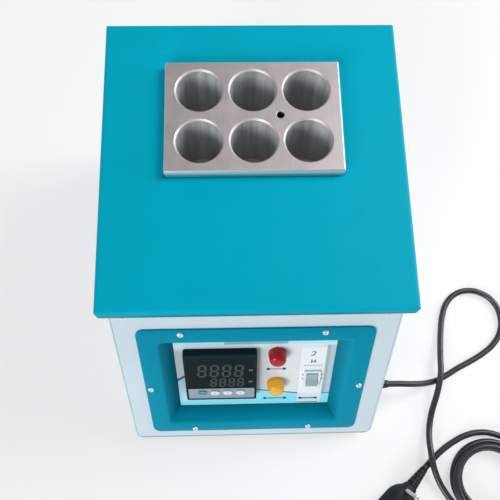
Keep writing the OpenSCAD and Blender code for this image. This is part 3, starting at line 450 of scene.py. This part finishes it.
# left, right, bottom, top and slant of each field, every one over the ones before it
prints = [
    (-0.080, 0.080, 0.0435, 0.060, 0, "shine"), (-0.030, 0.0315, 0.0443, 0.060, 0, "teal"),
    (-0.080, -0.070, -0.060, -0.0055, 0.75, "misty"),
    (-0.080, -0.070, -0.0079, -0.0040, 0.75, "line"),
    (0.000, 0.046, -0.080, -0.0308, -0.16, "blue"), (-0.070, 0.0005, -0.080, -0.0268, 0, "blue"),
    (0.0455, 0.080, -0.080, -0.0350, 0, "blue"), (-0.080, -0.0695, -0.060, -0.0465, 0, "blue"),
    (0.000, 0.046, -0.0315, -0.0299, -0.16, "line"), (0.0455, 0.080, -0.0357, -0.0342, 0, "line"),
    (0.0735, 0.080, -0.0345, 0.0415, 0, "sky"), (0.0702, 0.0740, -0.0345, 0.0415, 0, "grey"),
    (0.0455, 0.0705, -0.060, 0.0375, 0, "white"),
]
film = dict(toneTo=0.95, mistUp=(-0.01, -0.044), gloss=(0.28, 0.4), relief=0.000008,
            columnFoot=(0.0455, 0.0705, -0.060, -0.0350), footBy=0.45)


def makeFilmMaterial():
    tree, shader = newMaterial("printedFilm")
    flat = localPlace(tree, panelPlace)
    texture = useGroup(tree, surfaceGrain, Scale=1500.0, Broad=12.0)
    axes = splitAxes(tree, flat)
    inks = dict(fields, misty=mixColour(tree, ramp(tree, axes["Y"], *film["mistUp"]),
                                        fields["mist"], fields["paleBlue"]))
    colour = mixColour(tree, texture.outputs["Tone"],
                       toned(inks["ground"], film["toneTo"]), inks["ground"])
    for axis, start, end, name in washes:
        colour = mixColour(tree, ramp(tree, axes[axis], start, end), colour, inks[name])
    for *edges, name in prints:
        colour = mixColour(tree, fieldMask(tree, flat, *edges), colour, inks[name])
    foot = fieldMask(tree, flat, *film["columnFoot"])
    foot = mathNode(tree, "MULTIPLY", foot, film["footBy"])
    colour = mixColour(tree, foot, colour, inks["paleBlue"])
    tree.links.new(colour, shader.inputs["Base Color"])
    setGloss(tree, shader, texture, *film["gloss"])
    setRelief(tree, shader, texture.outputs["Height"], film["relief"])


# dark window, a little deeper and glossier than the plastic round it
window = dict(tones=((0.004, 0.012, 0.015), (0.006, 0.015, 0.018)), gloss=(0.3, 0.44))


def makeWindowMaterial():
    tree, shader = newMaterial("displayWindow", Specular_IOR_Level=0.06)
    texture = useGroup(tree, surfaceGrain, Scale=300.0, Broad=20.0)
    colour = mixColour(tree, texture.outputs["Tone"], *window["tones"])
    tree.links.new(colour, shader.inputs["Base Color"])
    setGloss(tree, shader, texture, *window["gloss"])


# drawn plastic sheath, faintly grained and handled
sheath = dict(tones=((0.016, 0.019, 0.022), (0.03, 0.035, 0.04)), gloss=(0.3, 0.48),
              relief=0.00004, strength=0.8)


def makeSheathMaterial():
    tree, shader = newMaterial("cordSheath")
    texture = useGroup(tree, surfaceGrain, Scale=1300.0, Broad=30.0)
    colour = mixColour(tree, texture.outputs["Tone"], *sheath["tones"])
    tree.links.new(colour, shader.inputs["Base Color"])
    setGloss(tree, shader, texture, *sheath["gloss"])
    setRelief(tree, shader, texture.outputs["Height"], sheath["relief"], sheath["strength"])


# the two lamps; the profile is in parts of the radius and the height
lamps = dict(
    red=(0.021656, 0.0305, 0), amber=(0.021656, -0.0158, 0), radius=0.009, height=0.0133, steps=48,
    # the lens's glow is painted light; its colour deepens to a painted shade towards the base and
    # at the rim, where the surface turns from view
    paintedGlow=0.55, base=0.001, brightAt=0.4, riseBy=0.7, facets=420.0, facetBy=0.5, rim=(0.55, 0.9),
    rimShadeTo=0.4, gloss=(0.2, 0.34), relief=0.00025, strength=0.6,
    profile=((0.0, 1.0), (0.3, 0.995), (0.52, 0.975), (0.68, 0.94), (0.79, 0.88), (0.865, 0.79),
             (0.91, 0.66), (0.95, 0.48), (0.985, 0.28), (1.0, 0.1), (1.0, 0.0), (0.0, 0.0)),
)
redPlace = panelPlace @ Matrix.Translation(lamps["red"])
amberPlace = panelPlace @ Matrix.Translation(lamps["amber"])


# clear faceted plastic with a painted glow, and painted shade towards the base and at the rim
def makeLensMaterial(name, deep, bright, axisPlace):
    tree, shader = newMaterial(name, Specular_IOR_Level=0.3, Coat_Weight=0.1, Coat_Roughness=0.12)
    place = localPlace(tree, axisPlace)
    facets = addNode(tree, "ShaderNodeTexVoronoi", {"Vector": place, "Scale": lamps["facets"]},
                     feature="F1").outputs["Distance"]
    # painted shade that deepens towards the base
    rise = ramp(tree, splitAxes(tree, place)["Z"], lamps["base"],
                lamps["height"] * lamps["brightAt"])
    tone = mathNode(tree, "ADD", mathNode(tree, "MULTIPLY", rise, lamps["riseBy"]),
                    mathNode(tree, "MULTIPLY", facets, lamps["facetBy"]), clamp=True)
    colour = mixColour(tree, tone, deep, bright)
    # painted shade at the rim, where the surface turns from view
    facing = addNode(tree, "ShaderNodeLayerWeight", {"Blend": 0.5}).outputs["Facing"]
    colour = mixColour(tree, ramp(tree, facing, *lamps["rim"]), colour,
                       toned(deep, lamps["rimShadeTo"]))
    tree.links.new(colour, shader.inputs["Base Color"])
    # painted glow, as if light came through the plastic
    tree.links.new(colour, shader.inputs["Emission Color"])
    shader.inputs["Emission Strength"].default_value = lamps["paintedGlow"]
    texture = useGroup(tree, surfaceGrain, Scale=900.0, Broad=60.0)
    setGloss(tree, shader, texture, *lamps["gloss"])
    setRelief(tree, shader, facets, lamps["relief"], lamps["strength"])


makeBlockMaterial()
makeFilmMaterial()
makeWindowMaterial()
makeSheathMaterial()
makeLensMaterial("redLens", (0.14, 0.003, 0.007), (0.25, 0.006, 0.007), redPlace)
makeLensMaterial("amberLens", (0.36, 0.14, 0.01), (0.56, 0.29, 0.02), amberPlace)
print("materials made", len(finishes))

nodeFinish = dict(
    cabinetPaint="cabinet_tub front_panel rear_panel", coverPaint="top_cover",
    gasketFoam="gasket_frame", printedFilm="control_panel",
    controllerPlastic="controller_bezel controller_case", displayWindow="display_window",
    keyStripPlastic="key_strip", blueKey="set_key", whiteKey="shift_key up_key down_key",
    switchPlastic="rocker_housing lamp_holders", rockerPlastic="rocker", brassTab="switch_tabs",
    platedSteel="controller_clamps lamp_nuts temp_probe foot_screws rear_screws cover_screws",
    milledAluminium="heating_block",
    sheetSteel="block_tray heater_clamp_plate insulation_case case_legs",
    mica="heater_plate", wool="insulation", ceramic="thermal_cutout",
    relayPlastic="solid_state_relay terminal_strip", sinkAluminium="relay_heat_sink",
    blackPlastic="fuse_holder fuse_cap gland_nut",
    footRubber="foot_front_left foot_front_right foot_rear_left foot_rear_right",
    pinMetal="plug_pins", cordSheath="cord_gland",
)
for finish, names in nodeFinish.items():
    for name in names.split():
        node = bpy.data.objects[name]
        node.data.materials.clear()
        node.data.materials.append(finishes[finish])
print("cabinet nodes finished")


def keepMesh(name, shape):
    mesh = bpy.data.meshes.new(name)
    shape.to_mesh(mesh)
    shape.free()
    return mesh


# turns a bmesh into a piece that rides on a body
def addPiece(name, shape, finish, place=None, body=root, sharp=35, fixNormals=True):
    bmesh.ops.remove_doubles(shape, verts=shape.verts, dist=1e-6)
    if place is not None:
        bmesh.ops.transform(shape, matrix=place, verts=shape.verts)
    if fixNormals:
        bmesh.ops.recalc_face_normals(shape, faces=shape.faces)
    mesh = keepMesh(name, shape)
    for polygon in mesh.polygons:
        polygon.use_smooth = True
    mesh.set_sharp_from_angle(angle=radians(sharp))
    mesh.materials.append(finishes[finish])
    piece = addObject(name, mesh)
    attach(piece, body)
    return piece


# adds one bmesh's shape to another and frees the first
def joinInto(shape, part):
    mesh = keepMesh("part", part)
    shape.from_mesh(mesh)
    bpy.data.meshes.remove(mesh)
    shape.faces.ensure_lookup_table()


# flat face with rounded corners, square to +Z
def roundedFace(shape, width, height, radius, x=0.0, y=0.0, z=0.0, segments=6):
    part = bmesh.new()
    place = Matrix.Translation((x, y, z)) @ Matrix.Diagonal((width / 2, height / 2, 1, 1))
    made = bmesh.ops.create_grid(part, x_segments=1, y_segments=1, size=1, matrix=place)
    if radius > 0:
        bmesh.ops.bevel(part, geom=made["verts"], offset=radius, offset_type="OFFSET",
                        affect="VERTICES", segments=segments, profile=0.5, material=-1)
    joinInto(shape, part)
    return shape.faces[-1]


# closed or open shell through a stack of rounded outlines
def bridgeStack(shape, outlines, capFirst=True, capLast=True, segments=6):
    faces = [roundedFace(shape, *outline, segments=segments) for outline in outlines]
    loops = [list(f.edges) for f in faces]
    drop = faces[1:-1] + ([] if capFirst else [faces[0]]) + ([] if capLast else [faces[-1]])
    bmesh.ops.delete(shape, geom=drop, context="FACES_ONLY")
    for first, second in zip(loops, loops[1:]):
        bmesh.ops.bridge_loops(shape, edges=first + second)
    return loops


def softenEdges(shape, edges, offset, segments):
    bmesh.ops.bevel(shape, geom=edges, offset=offset, offset_type="OFFSET", affect="EDGES",
                    segments=segments, profile=0.5, material=-1, clamp_overlap=True)


# turns a line of radius and height pairs about Z
def spinProfile(profile, steps):
    shape = bmesh.new()
    verts = [shape.verts.new((r, 0, z)) for r, z in profile]
    edges = [shape.edges.new(pair) for pair in zip(verts, verts[1:])]
    bmesh.ops.spin(shape, geom=verts + edges, axis=(0, 0, 1), cent=(0, 0, 0), angle=2 * pi,
                   steps=steps, use_merge=True, use_duplicate=False)
    return shape


# mains cord: lead, flat coil and tail in one spline, in millimetres; the coil winds in on the
# floor, climbs onto itself and winds out again, with its angles in degrees
cord = dict(
    diameter=0.007, exit=(0.150, -0.131, 0.030),
    lead=[(150, -131, 30), (163, -131, 29), (176, -131, 25), (189, -130, 18), (201, -128, 9.5),
          (213, -125, 4.6), (226, -119, 3.7), (240, -111, 3.6), (256, -103, 3.6), (272, -94, 3.6),
          (287, -82, 3.6), (297, -66, 3.6), (299, -48, 3.6), (293, -31, 3.6), (280, -20, 3.6),
          (264, -16, 3.6), (248, -20, 3.6), (236, -31, 3.6), (229, -47, 3.6), (225, -66, 3.8),
          (222, -84, 5.8), (219, -101, 10), (217, -116, 12.6), (214, -129, 12.4), (210, -144, 9),
          (205, -159, 5.2), (201, -174, 4), (198, -190, 6.6), (197, -205, 11), (198, -219, 11.4),
          (202, -233, 8.6), (209, -247, 5.4), (219, -261, 4), (232, -273, 4)],
    tail=[(305, -246, 11.4), (307, -232, 9.6), (305, -218, 6.6), (299, -205, 4.2), (288, -194, 3.6),
          (273, -187, 3.6), (257, -185, 3.6), (241, -188, 3.6), (226, -195, 3.6), (212, -204, 3.7),
          (199, -215, 3.9), (189, -224, 6)],
    coilAt=(262, -238), coilFrom=-110, coilTo=1058, step=18, radii=(46.5, 32.6, 43.7), aside=0.4,
    low=4.15, high=11.3, inward=720, climb=90, outFrom=770, roundness=5, smoothness=6,
)


def coilPoints():
    x, y = cord["coilAt"]
    outer, inner, last = cord["radii"]
    points = []
    for angle in range(cord["coilFrom"], cord["coilTo"], cord["step"]):
        turned = angle - cord["coilFrom"]
        if turned < cord["inward"]:
            radius = outer + (inner - outer) * turned / cord["inward"]
            z = cord["low"]
        else:
            rise = min(1, (turned - cord["inward"]) / cord["climb"])
            rise = rise * rise * (3 - 2 * rise)
            z = cord["low"] + (cord["high"] - cord["low"]) * rise
            out = max(0, turned - cord["outFrom"])
            out /= cord["coilTo"] - cord["coilFrom"] - cord["outFrom"]
            radius = inner + cord["aside"] + (last - inner - cord["aside"]) * out
        points.append((x + radius * cos(radians(angle)), y + radius * sin(radians(angle)), z))
    return points


def makeCord():
    points = [tuple(c * mm for c in p) for p in cord["lead"] + coilPoints() + cord["tail"]]
    data = bpy.data.curves.new("mainsCord", "CURVE")
    data.dimensions = "3D"
    data.bevel_depth = cord["diameter"] / 2
    data.bevel_resolution = cord["roundness"]
    data.resolution_u = cord["smoothness"]
    data.use_fill_caps = True
    spline = data.splines.new("BEZIER")
    spline.bezier_points.add(len(points) - 1)
    for handle, point in zip(spline.bezier_points, points):
        handle.co = point
        handle.handle_left_type = handle.handle_right_type = "AUTO"
    data.materials.append(finishes["cordSheath"])
    piece = addObject("mainsCord", data)
    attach(piece, root)
    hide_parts("cord_lead", "cord_coil", "cord_tail")
    total = sum((Vector(a) - Vector(b)).length for a, b in zip(points, points[1:]))
    print("cord length", round(total, 3))
    return piece, total


mainsCord, cordLength = makeCord()

# plug: moulded grip, each outline with its width, thickness, corner radius and place along it;
# the relief ends a little inside the grip
plug = dict(
    tip=(0.189, -0.224, 0.006), turn=223, roll=-35, height=0.0152, relief=0.026, into=0.001,
    outlines=[(0.0145, 0.0145, 0.0070, 0.0), (0.017, 0.0155, 0.0072, 0.004),
              (0.02752, 0.01892, 0.0080, 0.0105), (0.031, 0.0212, 0.0078, 0.0155),
              (0.032, 0.022, 0.0078, 0.019), (0.032, 0.022, 0.0078, 0.0365),
              (0.0308, 0.0208, 0.0074, 0.0388), (0.028, 0.018, 0.006, 0.040)],
)
turn = radians(plug["turn"])
heading = Vector((cos(turn), sin(turn), 0))
plugBase = Vector(plug["tip"]) + heading * plug["relief"]
plugBase.z = plug["height"]
plugPlace = (Matrix.Translation(plugBase) @ Matrix.Rotation(turn, 4, "Z")
             @ Matrix.Rotation(radians(plug["roll"]), 4, "X"))


def makePlug():
    shape = bmesh.new()
    outlines = [(wide, thick, corner, 0, 0, z) for wide, thick, corner, z in plug["outlines"]]
    bridgeStack(shape, outlines, segments=5)
    # outlines are drawn square to +Z: lay them along the plug, wide side level
    lay = Matrix(((0, 0, 1, 0), (1, 0, 0, 0), (0, 1, 0, 0), (0, 0, 0, 1)))
    return addPiece("plugGrip", shape, "plugRubber", plugPlace @ lay, sharp=50)


# ribbed cone that keeps the cord from bending at the plug; grooves lie in parts of a rib's pitch
cone = dict(thin=0.0041, thick=0.0067, ribs=5, groove=(0.35, 0.75), depth=(0.0007, 0.0006),
            slope=0.0003, steps=28)


def makeRelief():
    start = Vector(plug["tip"])
    along = plugBase + heading * plug["into"] - start
    thin, grow, slope = cone["thin"], cone["thick"] - cone["thin"], cone["slope"]
    profile = [(0.0, 0.0), (thin, 0.0)]
    for rib in range(cone["ribs"]):
        a, b = ((rib + part) / cone["ribs"] for part in cone["groove"])
        radius = thin + grow * a
        profile += [(radius, a * along.length),
                    (radius - cone["depth"][0], a * along.length + slope),
                    (radius - cone["depth"][1], b * along.length - slope),
                    (thin + grow * b, b * along.length)]
    profile += [(cone["thick"], along.length), (0.0, along.length)]
    shape = spinProfile(profile, cone["steps"])
    place = Matrix.Translation(start) @ along.to_track_quat("Z", "Y").to_matrix().to_4x4()
    return addPiece("plugRelief", shape, "plugRubber", place, sharp=40)


# flat band round the coil's cord, in millimetres, standing across it
tie = dict(angle=-42, middle=39.1, across=22.0, height=15.6, width=5.0, thick=0.55,
           corners=(3.5, 3.0))


def makeTie():
    shape = bmesh.new()
    outlines = []
    for corner, inset in zip(tie["corners"], (0, 2 * tie["thick"])):
        outlines.append(((tie["across"] - inset) * mm, (tie["height"] - inset) * mm, corner * mm,
                         0, tie["height"] / 2 * mm))
    outer, inner = outlines
    half = tie["width"] / 2 * mm
    stack = [outer + (-half,), outer + (half,), inner + (half,), inner + (-half,)]
    loops = bridgeStack(shape, stack, capFirst=False, capLast=False)
    bmesh.ops.bridge_loops(shape, edges=loops[0] + loops[3])
    x, y = cord["coilAt"]
    place = (Matrix.Translation((x * mm, y * mm, 0.0))
             @ Matrix.Rotation(radians(tie["angle"]), 4, "Z")
             @ Matrix.Translation((tie["middle"] * mm, 0, 0))
             @ Matrix.Rotation(radians(90), 4, "X"))
    piece = addPiece("coilTie", shape, "tiePlastic", place)
    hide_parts("cord_tie")
    return piece


plugGrip = makePlug()
plugRelief = makeRelief()
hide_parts("plug_body")
coilTie = makeTie()
print("cord and plug made")

# the cover's opening, its painted edge turned in against the block
collar = dict(clear=0.0001, reach=0.0015, corner=0.0009, level=0.2139, thick=0.0017)


def makeCollar():
    low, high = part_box("heating_block")
    grow = 2 * (collar["clear"] + collar["reach"])
    shape = bmesh.new()
    face = roundedFace(shape, high[0] - low[0] + grow, high[1] - low[1] + grow,
                       collar["corner"] + collar["reach"], y=(low[1] + high[1]) / 2,
                       z=collar["level"])
    bmesh.ops.inset_region(shape, faces=[face], thickness=collar["reach"], use_boundary=True,
                           use_even_offset=True)
    bmesh.ops.delete(shape, geom=[face], context="FACES_ONLY")
    bmesh.ops.solidify(shape, geom=shape.faces[:], thickness=collar["thick"])
    addPiece("coverCollar", shape, "coverPaint")


# moulded console bezel: flange, leaning walls and a back return, each with its width, height and
# corner radius; the flange's outer edge and the opening's are rounded
bezel = dict(flange=(0.219, 0.161, 0.008), opening=(0.1815, 0.128, 0.003),
             floor=(0.158, 0.1045, 0.0015), back=(0.174, 0.1205, 0.0025),
             middle=0.094, thick=0.002, flangeSoft=(0.0009, 3), openingSoft=(0.0016, 4),
             slack=0.0005)


def makeBezel():
    shape = bmesh.new()
    mid, thick, depth = console["openingMid"], bezel["thick"], -console["recess"]
    outlines = [bezel["flange"] + (0, bezel["middle"], 0.0),
                bezel["flange"] + (0, bezel["middle"], thick), bezel["opening"] + (0, mid, thick),
                bezel["floor"] + (0, mid, depth), bezel["back"] + (0, mid, depth)]
    loops = bridgeStack(shape, outlines, capFirst=False, capLast=False)
    softenEdges(shape, loops[1], *bezel["flangeSoft"])
    halfW, halfH = (side / 2 + bezel["slack"] for side in bezel["opening"][:2])
    near = [e for e in shape.edges if len(e.link_faces) == 2 and all(
        abs(v.co.z - thick) < 1e-6 and abs(v.co.x) < halfW and abs(v.co.y - mid) < halfH
        for v in e.verts)]
    softenEdges(shape, near, *bezel["openingSoft"])
    piece = addPiece("consoleBezel", shape, "bezelPlastic", facePlace, sharp=50)
    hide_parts("front_bezel")


# pan head with a cross recess, cut once and repeated; profile and cutter in parts of the head's
# radius and height, and each screw with its place on the sloped front and its turn
screwHead = dict(
    radius=0.0031, height=0.0019, steps=24, cutter=(1.05, 0.26, 1.2),
    profile=((0.0, 1.0), (0.45, 1.0), (0.8, 0.86), (0.96, 0.55), (1.0, 0.25), (1.0, 0.0),
             (0.0, 0.0)),
)
screws = dict(
    bezelScrewHeads=("bezel_screws", [
        (-0.0687, 0.169, 0.002, 20), (0.0627, 0.169, 0.002, 65), (-0.06432, 0.019, 0.002, 48),
        (0.05832, 0.019, 0.002, 5), (-0.104, 0.0895, 0.002, 33), (0.104, 0.0895, 0.002, 78)]),
    faceScrewHeads=("face_screws", [(-0.1172, 0.19094, 0.0, 12), (0.1172, 0.19094, 0.0, 55)]),
)


def makeScrews(name, node, spots):
    radius, height = screwHead["radius"], screwHead["height"]
    profile = [(r * radius, z * height) for r, z in screwHead["profile"]]
    head = spinProfile(profile, screwHead["steps"])
    bmesh.ops.remove_doubles(head, verts=head.verts, dist=1e-7)
    bmesh.ops.recalc_face_normals(head, faces=head.faces)
    cutter = bmesh.new()
    long, wide, deep = screwHead["cutter"]
    for angle in (0, 90):
        size = Matrix.Diagonal((radius * long, radius * wide, height * deep, 1))
        bmesh.ops.create_cube(cutter, size=1, matrix=Matrix.Translation((0, 0, height))
                              @ Matrix.Rotation(radians(angle), 4, "Z") @ size)
    things = [addObject(name + part, keepMesh(name + part, made))
              for part, made in (("Head", head), ("Cutter", cutter))]
    modifier = things[0].modifiers.new("recess", "BOOLEAN")
    modifier.operation = "DIFFERENCE"
    modifier.solver = "EXACT"
    modifier.use_self = True
    modifier.object = things[1]
    evaluated = things[0].evaluated_get(bpy.context.evaluated_depsgraph_get())
    cut = bpy.data.meshes.new_from_object(evaluated)
    shape = bmesh.new()
    for x, y, z, turned in spots:
        before = len(shape.verts)
        shape.from_mesh(cut)
        shape.verts.ensure_lookup_table()
        bmesh.ops.transform(shape, verts=shape.verts[before:], matrix=Matrix.Translation((x, y, z))
                            @ Matrix.Rotation(radians(turned), 4, "Z"))
    meshes = [thing.data for thing in things] + [cut]
    for thing in things:
        bpy.data.objects.remove(thing)
    for mesh in meshes:
        bpy.data.meshes.remove(mesh)
    piece = addPiece(name, shape, "platedSteel", facePlace, sharp=30,
                     fixNormals=False)
    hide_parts(node)


def makeLens(name, finish, node, place):
    profile = [(r * lamps["radius"], z * lamps["height"]) for r, z in lamps["profile"]]
    shape = spinProfile(profile, lamps["steps"])
    piece = addPiece(name, shape, finish, place, sharp=60)
    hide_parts(node)


# heights of printed marks over the panel's face: on its film, the controller's window and its keys
markLevel = dict(film=0.00001, window=0.00801, key=0.00891)


# gives flat faces their thickness, along +Z
def thicken(shape, faces, thick):
    made = bmesh.ops.extrude_face_region(shape, geom=faces)
    top = [v for v in made["geom"] if isinstance(v, bmesh.types.BMVert)]
    bmesh.ops.translate(shape, verts=top, vec=(0, 0, thick))


# thin printed marks laid on a surface: middle x, middle y, width, height, turn
def makeMarks(name, marks, finish, place, level, body=root, thick=0.00006, corner=0.0):
    shape = bmesh.new()
    for x, y, width, height, angle in marks:
        part = bmesh.new()
        face = roundedFace(part, width, height, min(width, height) * corner, segments=4)
        thicken(part, [face], thick)
        spot = Matrix.Translation((x, y, markLevel[level]))
        spot @= Matrix.Rotation(radians(angle), 4, "Z")
        bmesh.ops.transform(part, verts=part.verts, matrix=spot)
        joinInto(shape, part)
    addPiece(name, shape, finish, place, body=body)


# digits: left, right, middle height, digit height and bar width of each row
display = dict(
    rows=[(-0.0243, 0.0243, 0.0113, 0.0188, 0.0022),
          (-0.0120, 0.0243, -0.0070, 0.0138, 0.0017)],
    digits=4, fill=0.74, gap=0.25, lean=0.08, leanTurn=-4.6, thick=0.00004, corner=0.3,
    lights=[(0.0290, 0.0117, 0.0018, 0.0022, 0), (0.0312, 0.0117, 0.0014, 0.0022, 0),
            (0.0290, -0.0062, 0.0018, 0.0022, 0), (0.0312, -0.0062, 0.0014, 0.0022, 0)],
)


# seven bars of one digit about its middle, leaning a little
def digitBars(x, y, width, height, bar):
    gap, lean = bar * display["gap"], display["lean"]
    half = height / 2
    across = width - bar - 2 * gap
    along = half - bar - 2 * gap
    bars = [(x + dy * lean, y + dy, across, bar, 0) for dy in (-half + bar / 2, 0, half - bar / 2)]
    for side in (-1, 1):
        for level in (-1, 1):
            dy = level * (half - bar / 2) / 2
            bars.append((x + side * (width - bar) / 2 + dy * lean, y + dy, bar, along,
                         display["leanTurn"]))
    return bars


def makeDisplay():
    marks = []
    for left, right, middle, height, bar in display["rows"]:
        pitch = (right - left) / display["digits"]
        for digit in range(display["digits"]):
            marks += digitBars(left + (digit + 0.5) * pitch, middle, pitch * display["fill"],
                               height, bar)
    makeMarks("displaySegments", marks, "segmentPrint", controllerPlace, "window",
              thick=display["thick"])
    makeMarks("displayLights", display["lights"], "labelPrint", controllerPlace, "window",
              thick=display["thick"], corner=display["corner"])


# marks that ride on the keys: three bars, then triangles with their key's place and their turn
keyMarks = dict(
    up=-0.0235, radius=0.0013, thick=0.00005, corner=0.3,
    bars=[(-0.0222, -0.0235, 0.0013, 0.0018, 0), (-0.0195, -0.0231, 0.0018, 0.0008, 0),
          (-0.0168, -0.0235, 0.0013, 0.0018, 0)],
    triangles=[("shiftMark", "shift_key_body", -0.0065, 90), ("upMark", "up_key_body", 0.0065, 0),
               ("downMark", "down_key_body", 0.0195, -180)],
)


def makeKeyMarks():
    makeMarks("setMark", keyMarks["bars"], "inkMark", controllerPlace, "key",
              body="set_key_body", thick=keyMarks["thick"], corner=keyMarks["corner"])
    for name, body, x, turned in keyMarks["triangles"]:
        shape = bmesh.new()
        bmesh.ops.create_circle(shape, cap_ends=True, segments=3, radius=keyMarks["radius"])
        bmesh.ops.transform(shape, verts=shape.verts,
                            matrix=Matrix.Rotation(radians(turned), 4, "Z"))
        thicken(shape, shape.faces[:], keyMarks["thick"])
        place = controllerPlace @ Matrix.Translation((x, keyMarks["up"], markLevel["key"]))
        addPiece(name, shape, "greyInk", place, body=body)


# marks on the film: finish, rounding, and each mark's middle, width, height and turn
legends = dict(
    panelMarks=("inkMark", 0.3, [(x, up, 0.0038, 0.0034, 0) for x, up in (
        (0.0136, 0.0063), (0.0295, 0.0063), (0.0112, -0.0425), (0.0320, -0.0425),
        (0.0489, -0.0435), (0.0651, -0.0435))]),
    columnMarks=("slateInk", 0.3, [
        (0.0577, 0.0314, 0.0042, 0.0012, 0), (0.0588, 0.0287, 0.0012, 0.0050, -24),
        (0.0567, 0.0264, 0.0038, 0.0012, 0), (0.0565, 0.0170, 0.0014, 0.0050, 0),
        (0.0600, 0.0170, 0.0014, 0.0050, 0), (0.0582, 0.0170, 0.0030, 0.0012, 0)]),
    redLampBar=("lilacInk", 0.4, [(0.0216, 0.0063, 0.0112, 0.0024, 0)]),
    panelBars=("blueInk", 0.4, [
        (0.0216, -0.0425, 0.0160, 0.0022, 0), (0.0570, -0.0435, 0.0124, 0.0026, 0),
        (0.0568, -0.0508, 0.0230, 0.0014, 0)]),
    panelFaintMarks=("greyInk", 0.2, [
        (0.0503 + i * 0.0028, 0.0106, 0.0019, 0.0016, 0) for i in range(7)] + [
        (x, up, 0.0016, 0.0036, 0) for x in (0.0492, 0.0690) for up in (-0.004, -0.0105)]),
)


def makeLegends():
    for name, (finish, corner, marks) in legends.items():
        makeMarks(name, marks, finish, panelPlace, "film", corner=corner)


makeCollar()
makeBezel()
for name, (node, spots) in screws.items():
    makeScrews(name, node, spots)
makeLens("redJewel", "redLens", "red_lens", redPlace)
makeLens("amberJewel", "amberLens", "amber_lens", amberPlace)
makeDisplay()
makeKeyMarks()
makeLegends()
print("console dressed")

# a paper-white ground to the eye and in reflections, with the shadow kept
ground = dict(size=12, level=-0.0002, colour=(0.86, 0.865, 0.87), rough=0.6, paper=0.6)


def makeStage():
    shape = bmesh.new()
    bmesh.ops.create_grid(shape, x_segments=1, y_segments=1, size=ground["size"])
    floor = addObject("floor", keepMesh("floor", shape))
    floor.location.z = ground["level"]
    tree, shader = newMaterial("floorFinish", Roughness=ground["rough"])
    feed(tree, shader.inputs["Base Color"], ground["colour"])
    path = addNode(tree, "ShaderNodeLightPath").outputs
    seen = path["Is Camera Ray"]
    for kind in ("Is Glossy Ray", "Is Transmission Ray"):
        seen = mathNode(tree, "ADD", seen, path[kind], clamp=True)
    seen = mathNode(tree, "MULTIPLY", seen, ground["paper"])
    paper = addNode(tree, "ShaderNodeEmission", {"Color": (1, 1, 1), "Strength": 1.0})
    mixed = addNode(tree, "ShaderNodeMixShader",
                    {0: seen, 1: shader.outputs[0], 2: paper.outputs[0]})
    tree.links.new(mixed.outputs[0], tree.nodes["Material Output"].inputs["Surface"])
    floor.data.materials.append(finishes["floorFinish"])


# the world is low as a light and in metal, and pale to the eye behind the floor
studio = dict(
    world=(0.95, 0.98, 1.0), worldStrength=0.28, worldSeen=0.82,
    lights=[dict(name="frontLeft", place=(-2.0, -3.1, 1.7), aim=(0, -0.05, 0.12), size=1.9,
                 power=108),
            dict(name="backRight", place=(1.2, 0.6, 1.35), aim=(0, 0, 0.18), size=1.0, power=21),
            dict(name="lowRight", place=(1.5, 0.35, 0.5), aim=(0, 0.08, 0.22), size=0.7, power=8)],
)


def makeLights():
    world = bpy.data.worlds.new("studio")
    bpy.context.scene.world = world
    world.use_nodes = True
    tree = world.node_tree
    back = tree.nodes["Background"].inputs
    feed(tree, back["Color"], studio["world"])
    seen = addNode(tree, "ShaderNodeLightPath").outputs["Is Camera Ray"]
    strength = ramp(tree, seen, 0, 1, studio["worldStrength"], studio["worldSeen"])
    tree.links.new(strength, back["Strength"])
    for lamp in studio["lights"]:
        data = bpy.data.lights.new(lamp["name"], "AREA")
        data.shape = "DISK"
        data.size = lamp["size"]
        data.energy = lamp["power"]
        light = addObject(lamp["name"], data)
        light.location = lamp["place"]
        aim = Vector(lamp["aim"]) - light.location
        light.rotation_euler = aim.to_track_quat("-Z", "Y").to_euler()


makeStage()
makeLights()
bpy.context.scene.view_settings.view_transform = "Standard"
print("floor and lights placed")
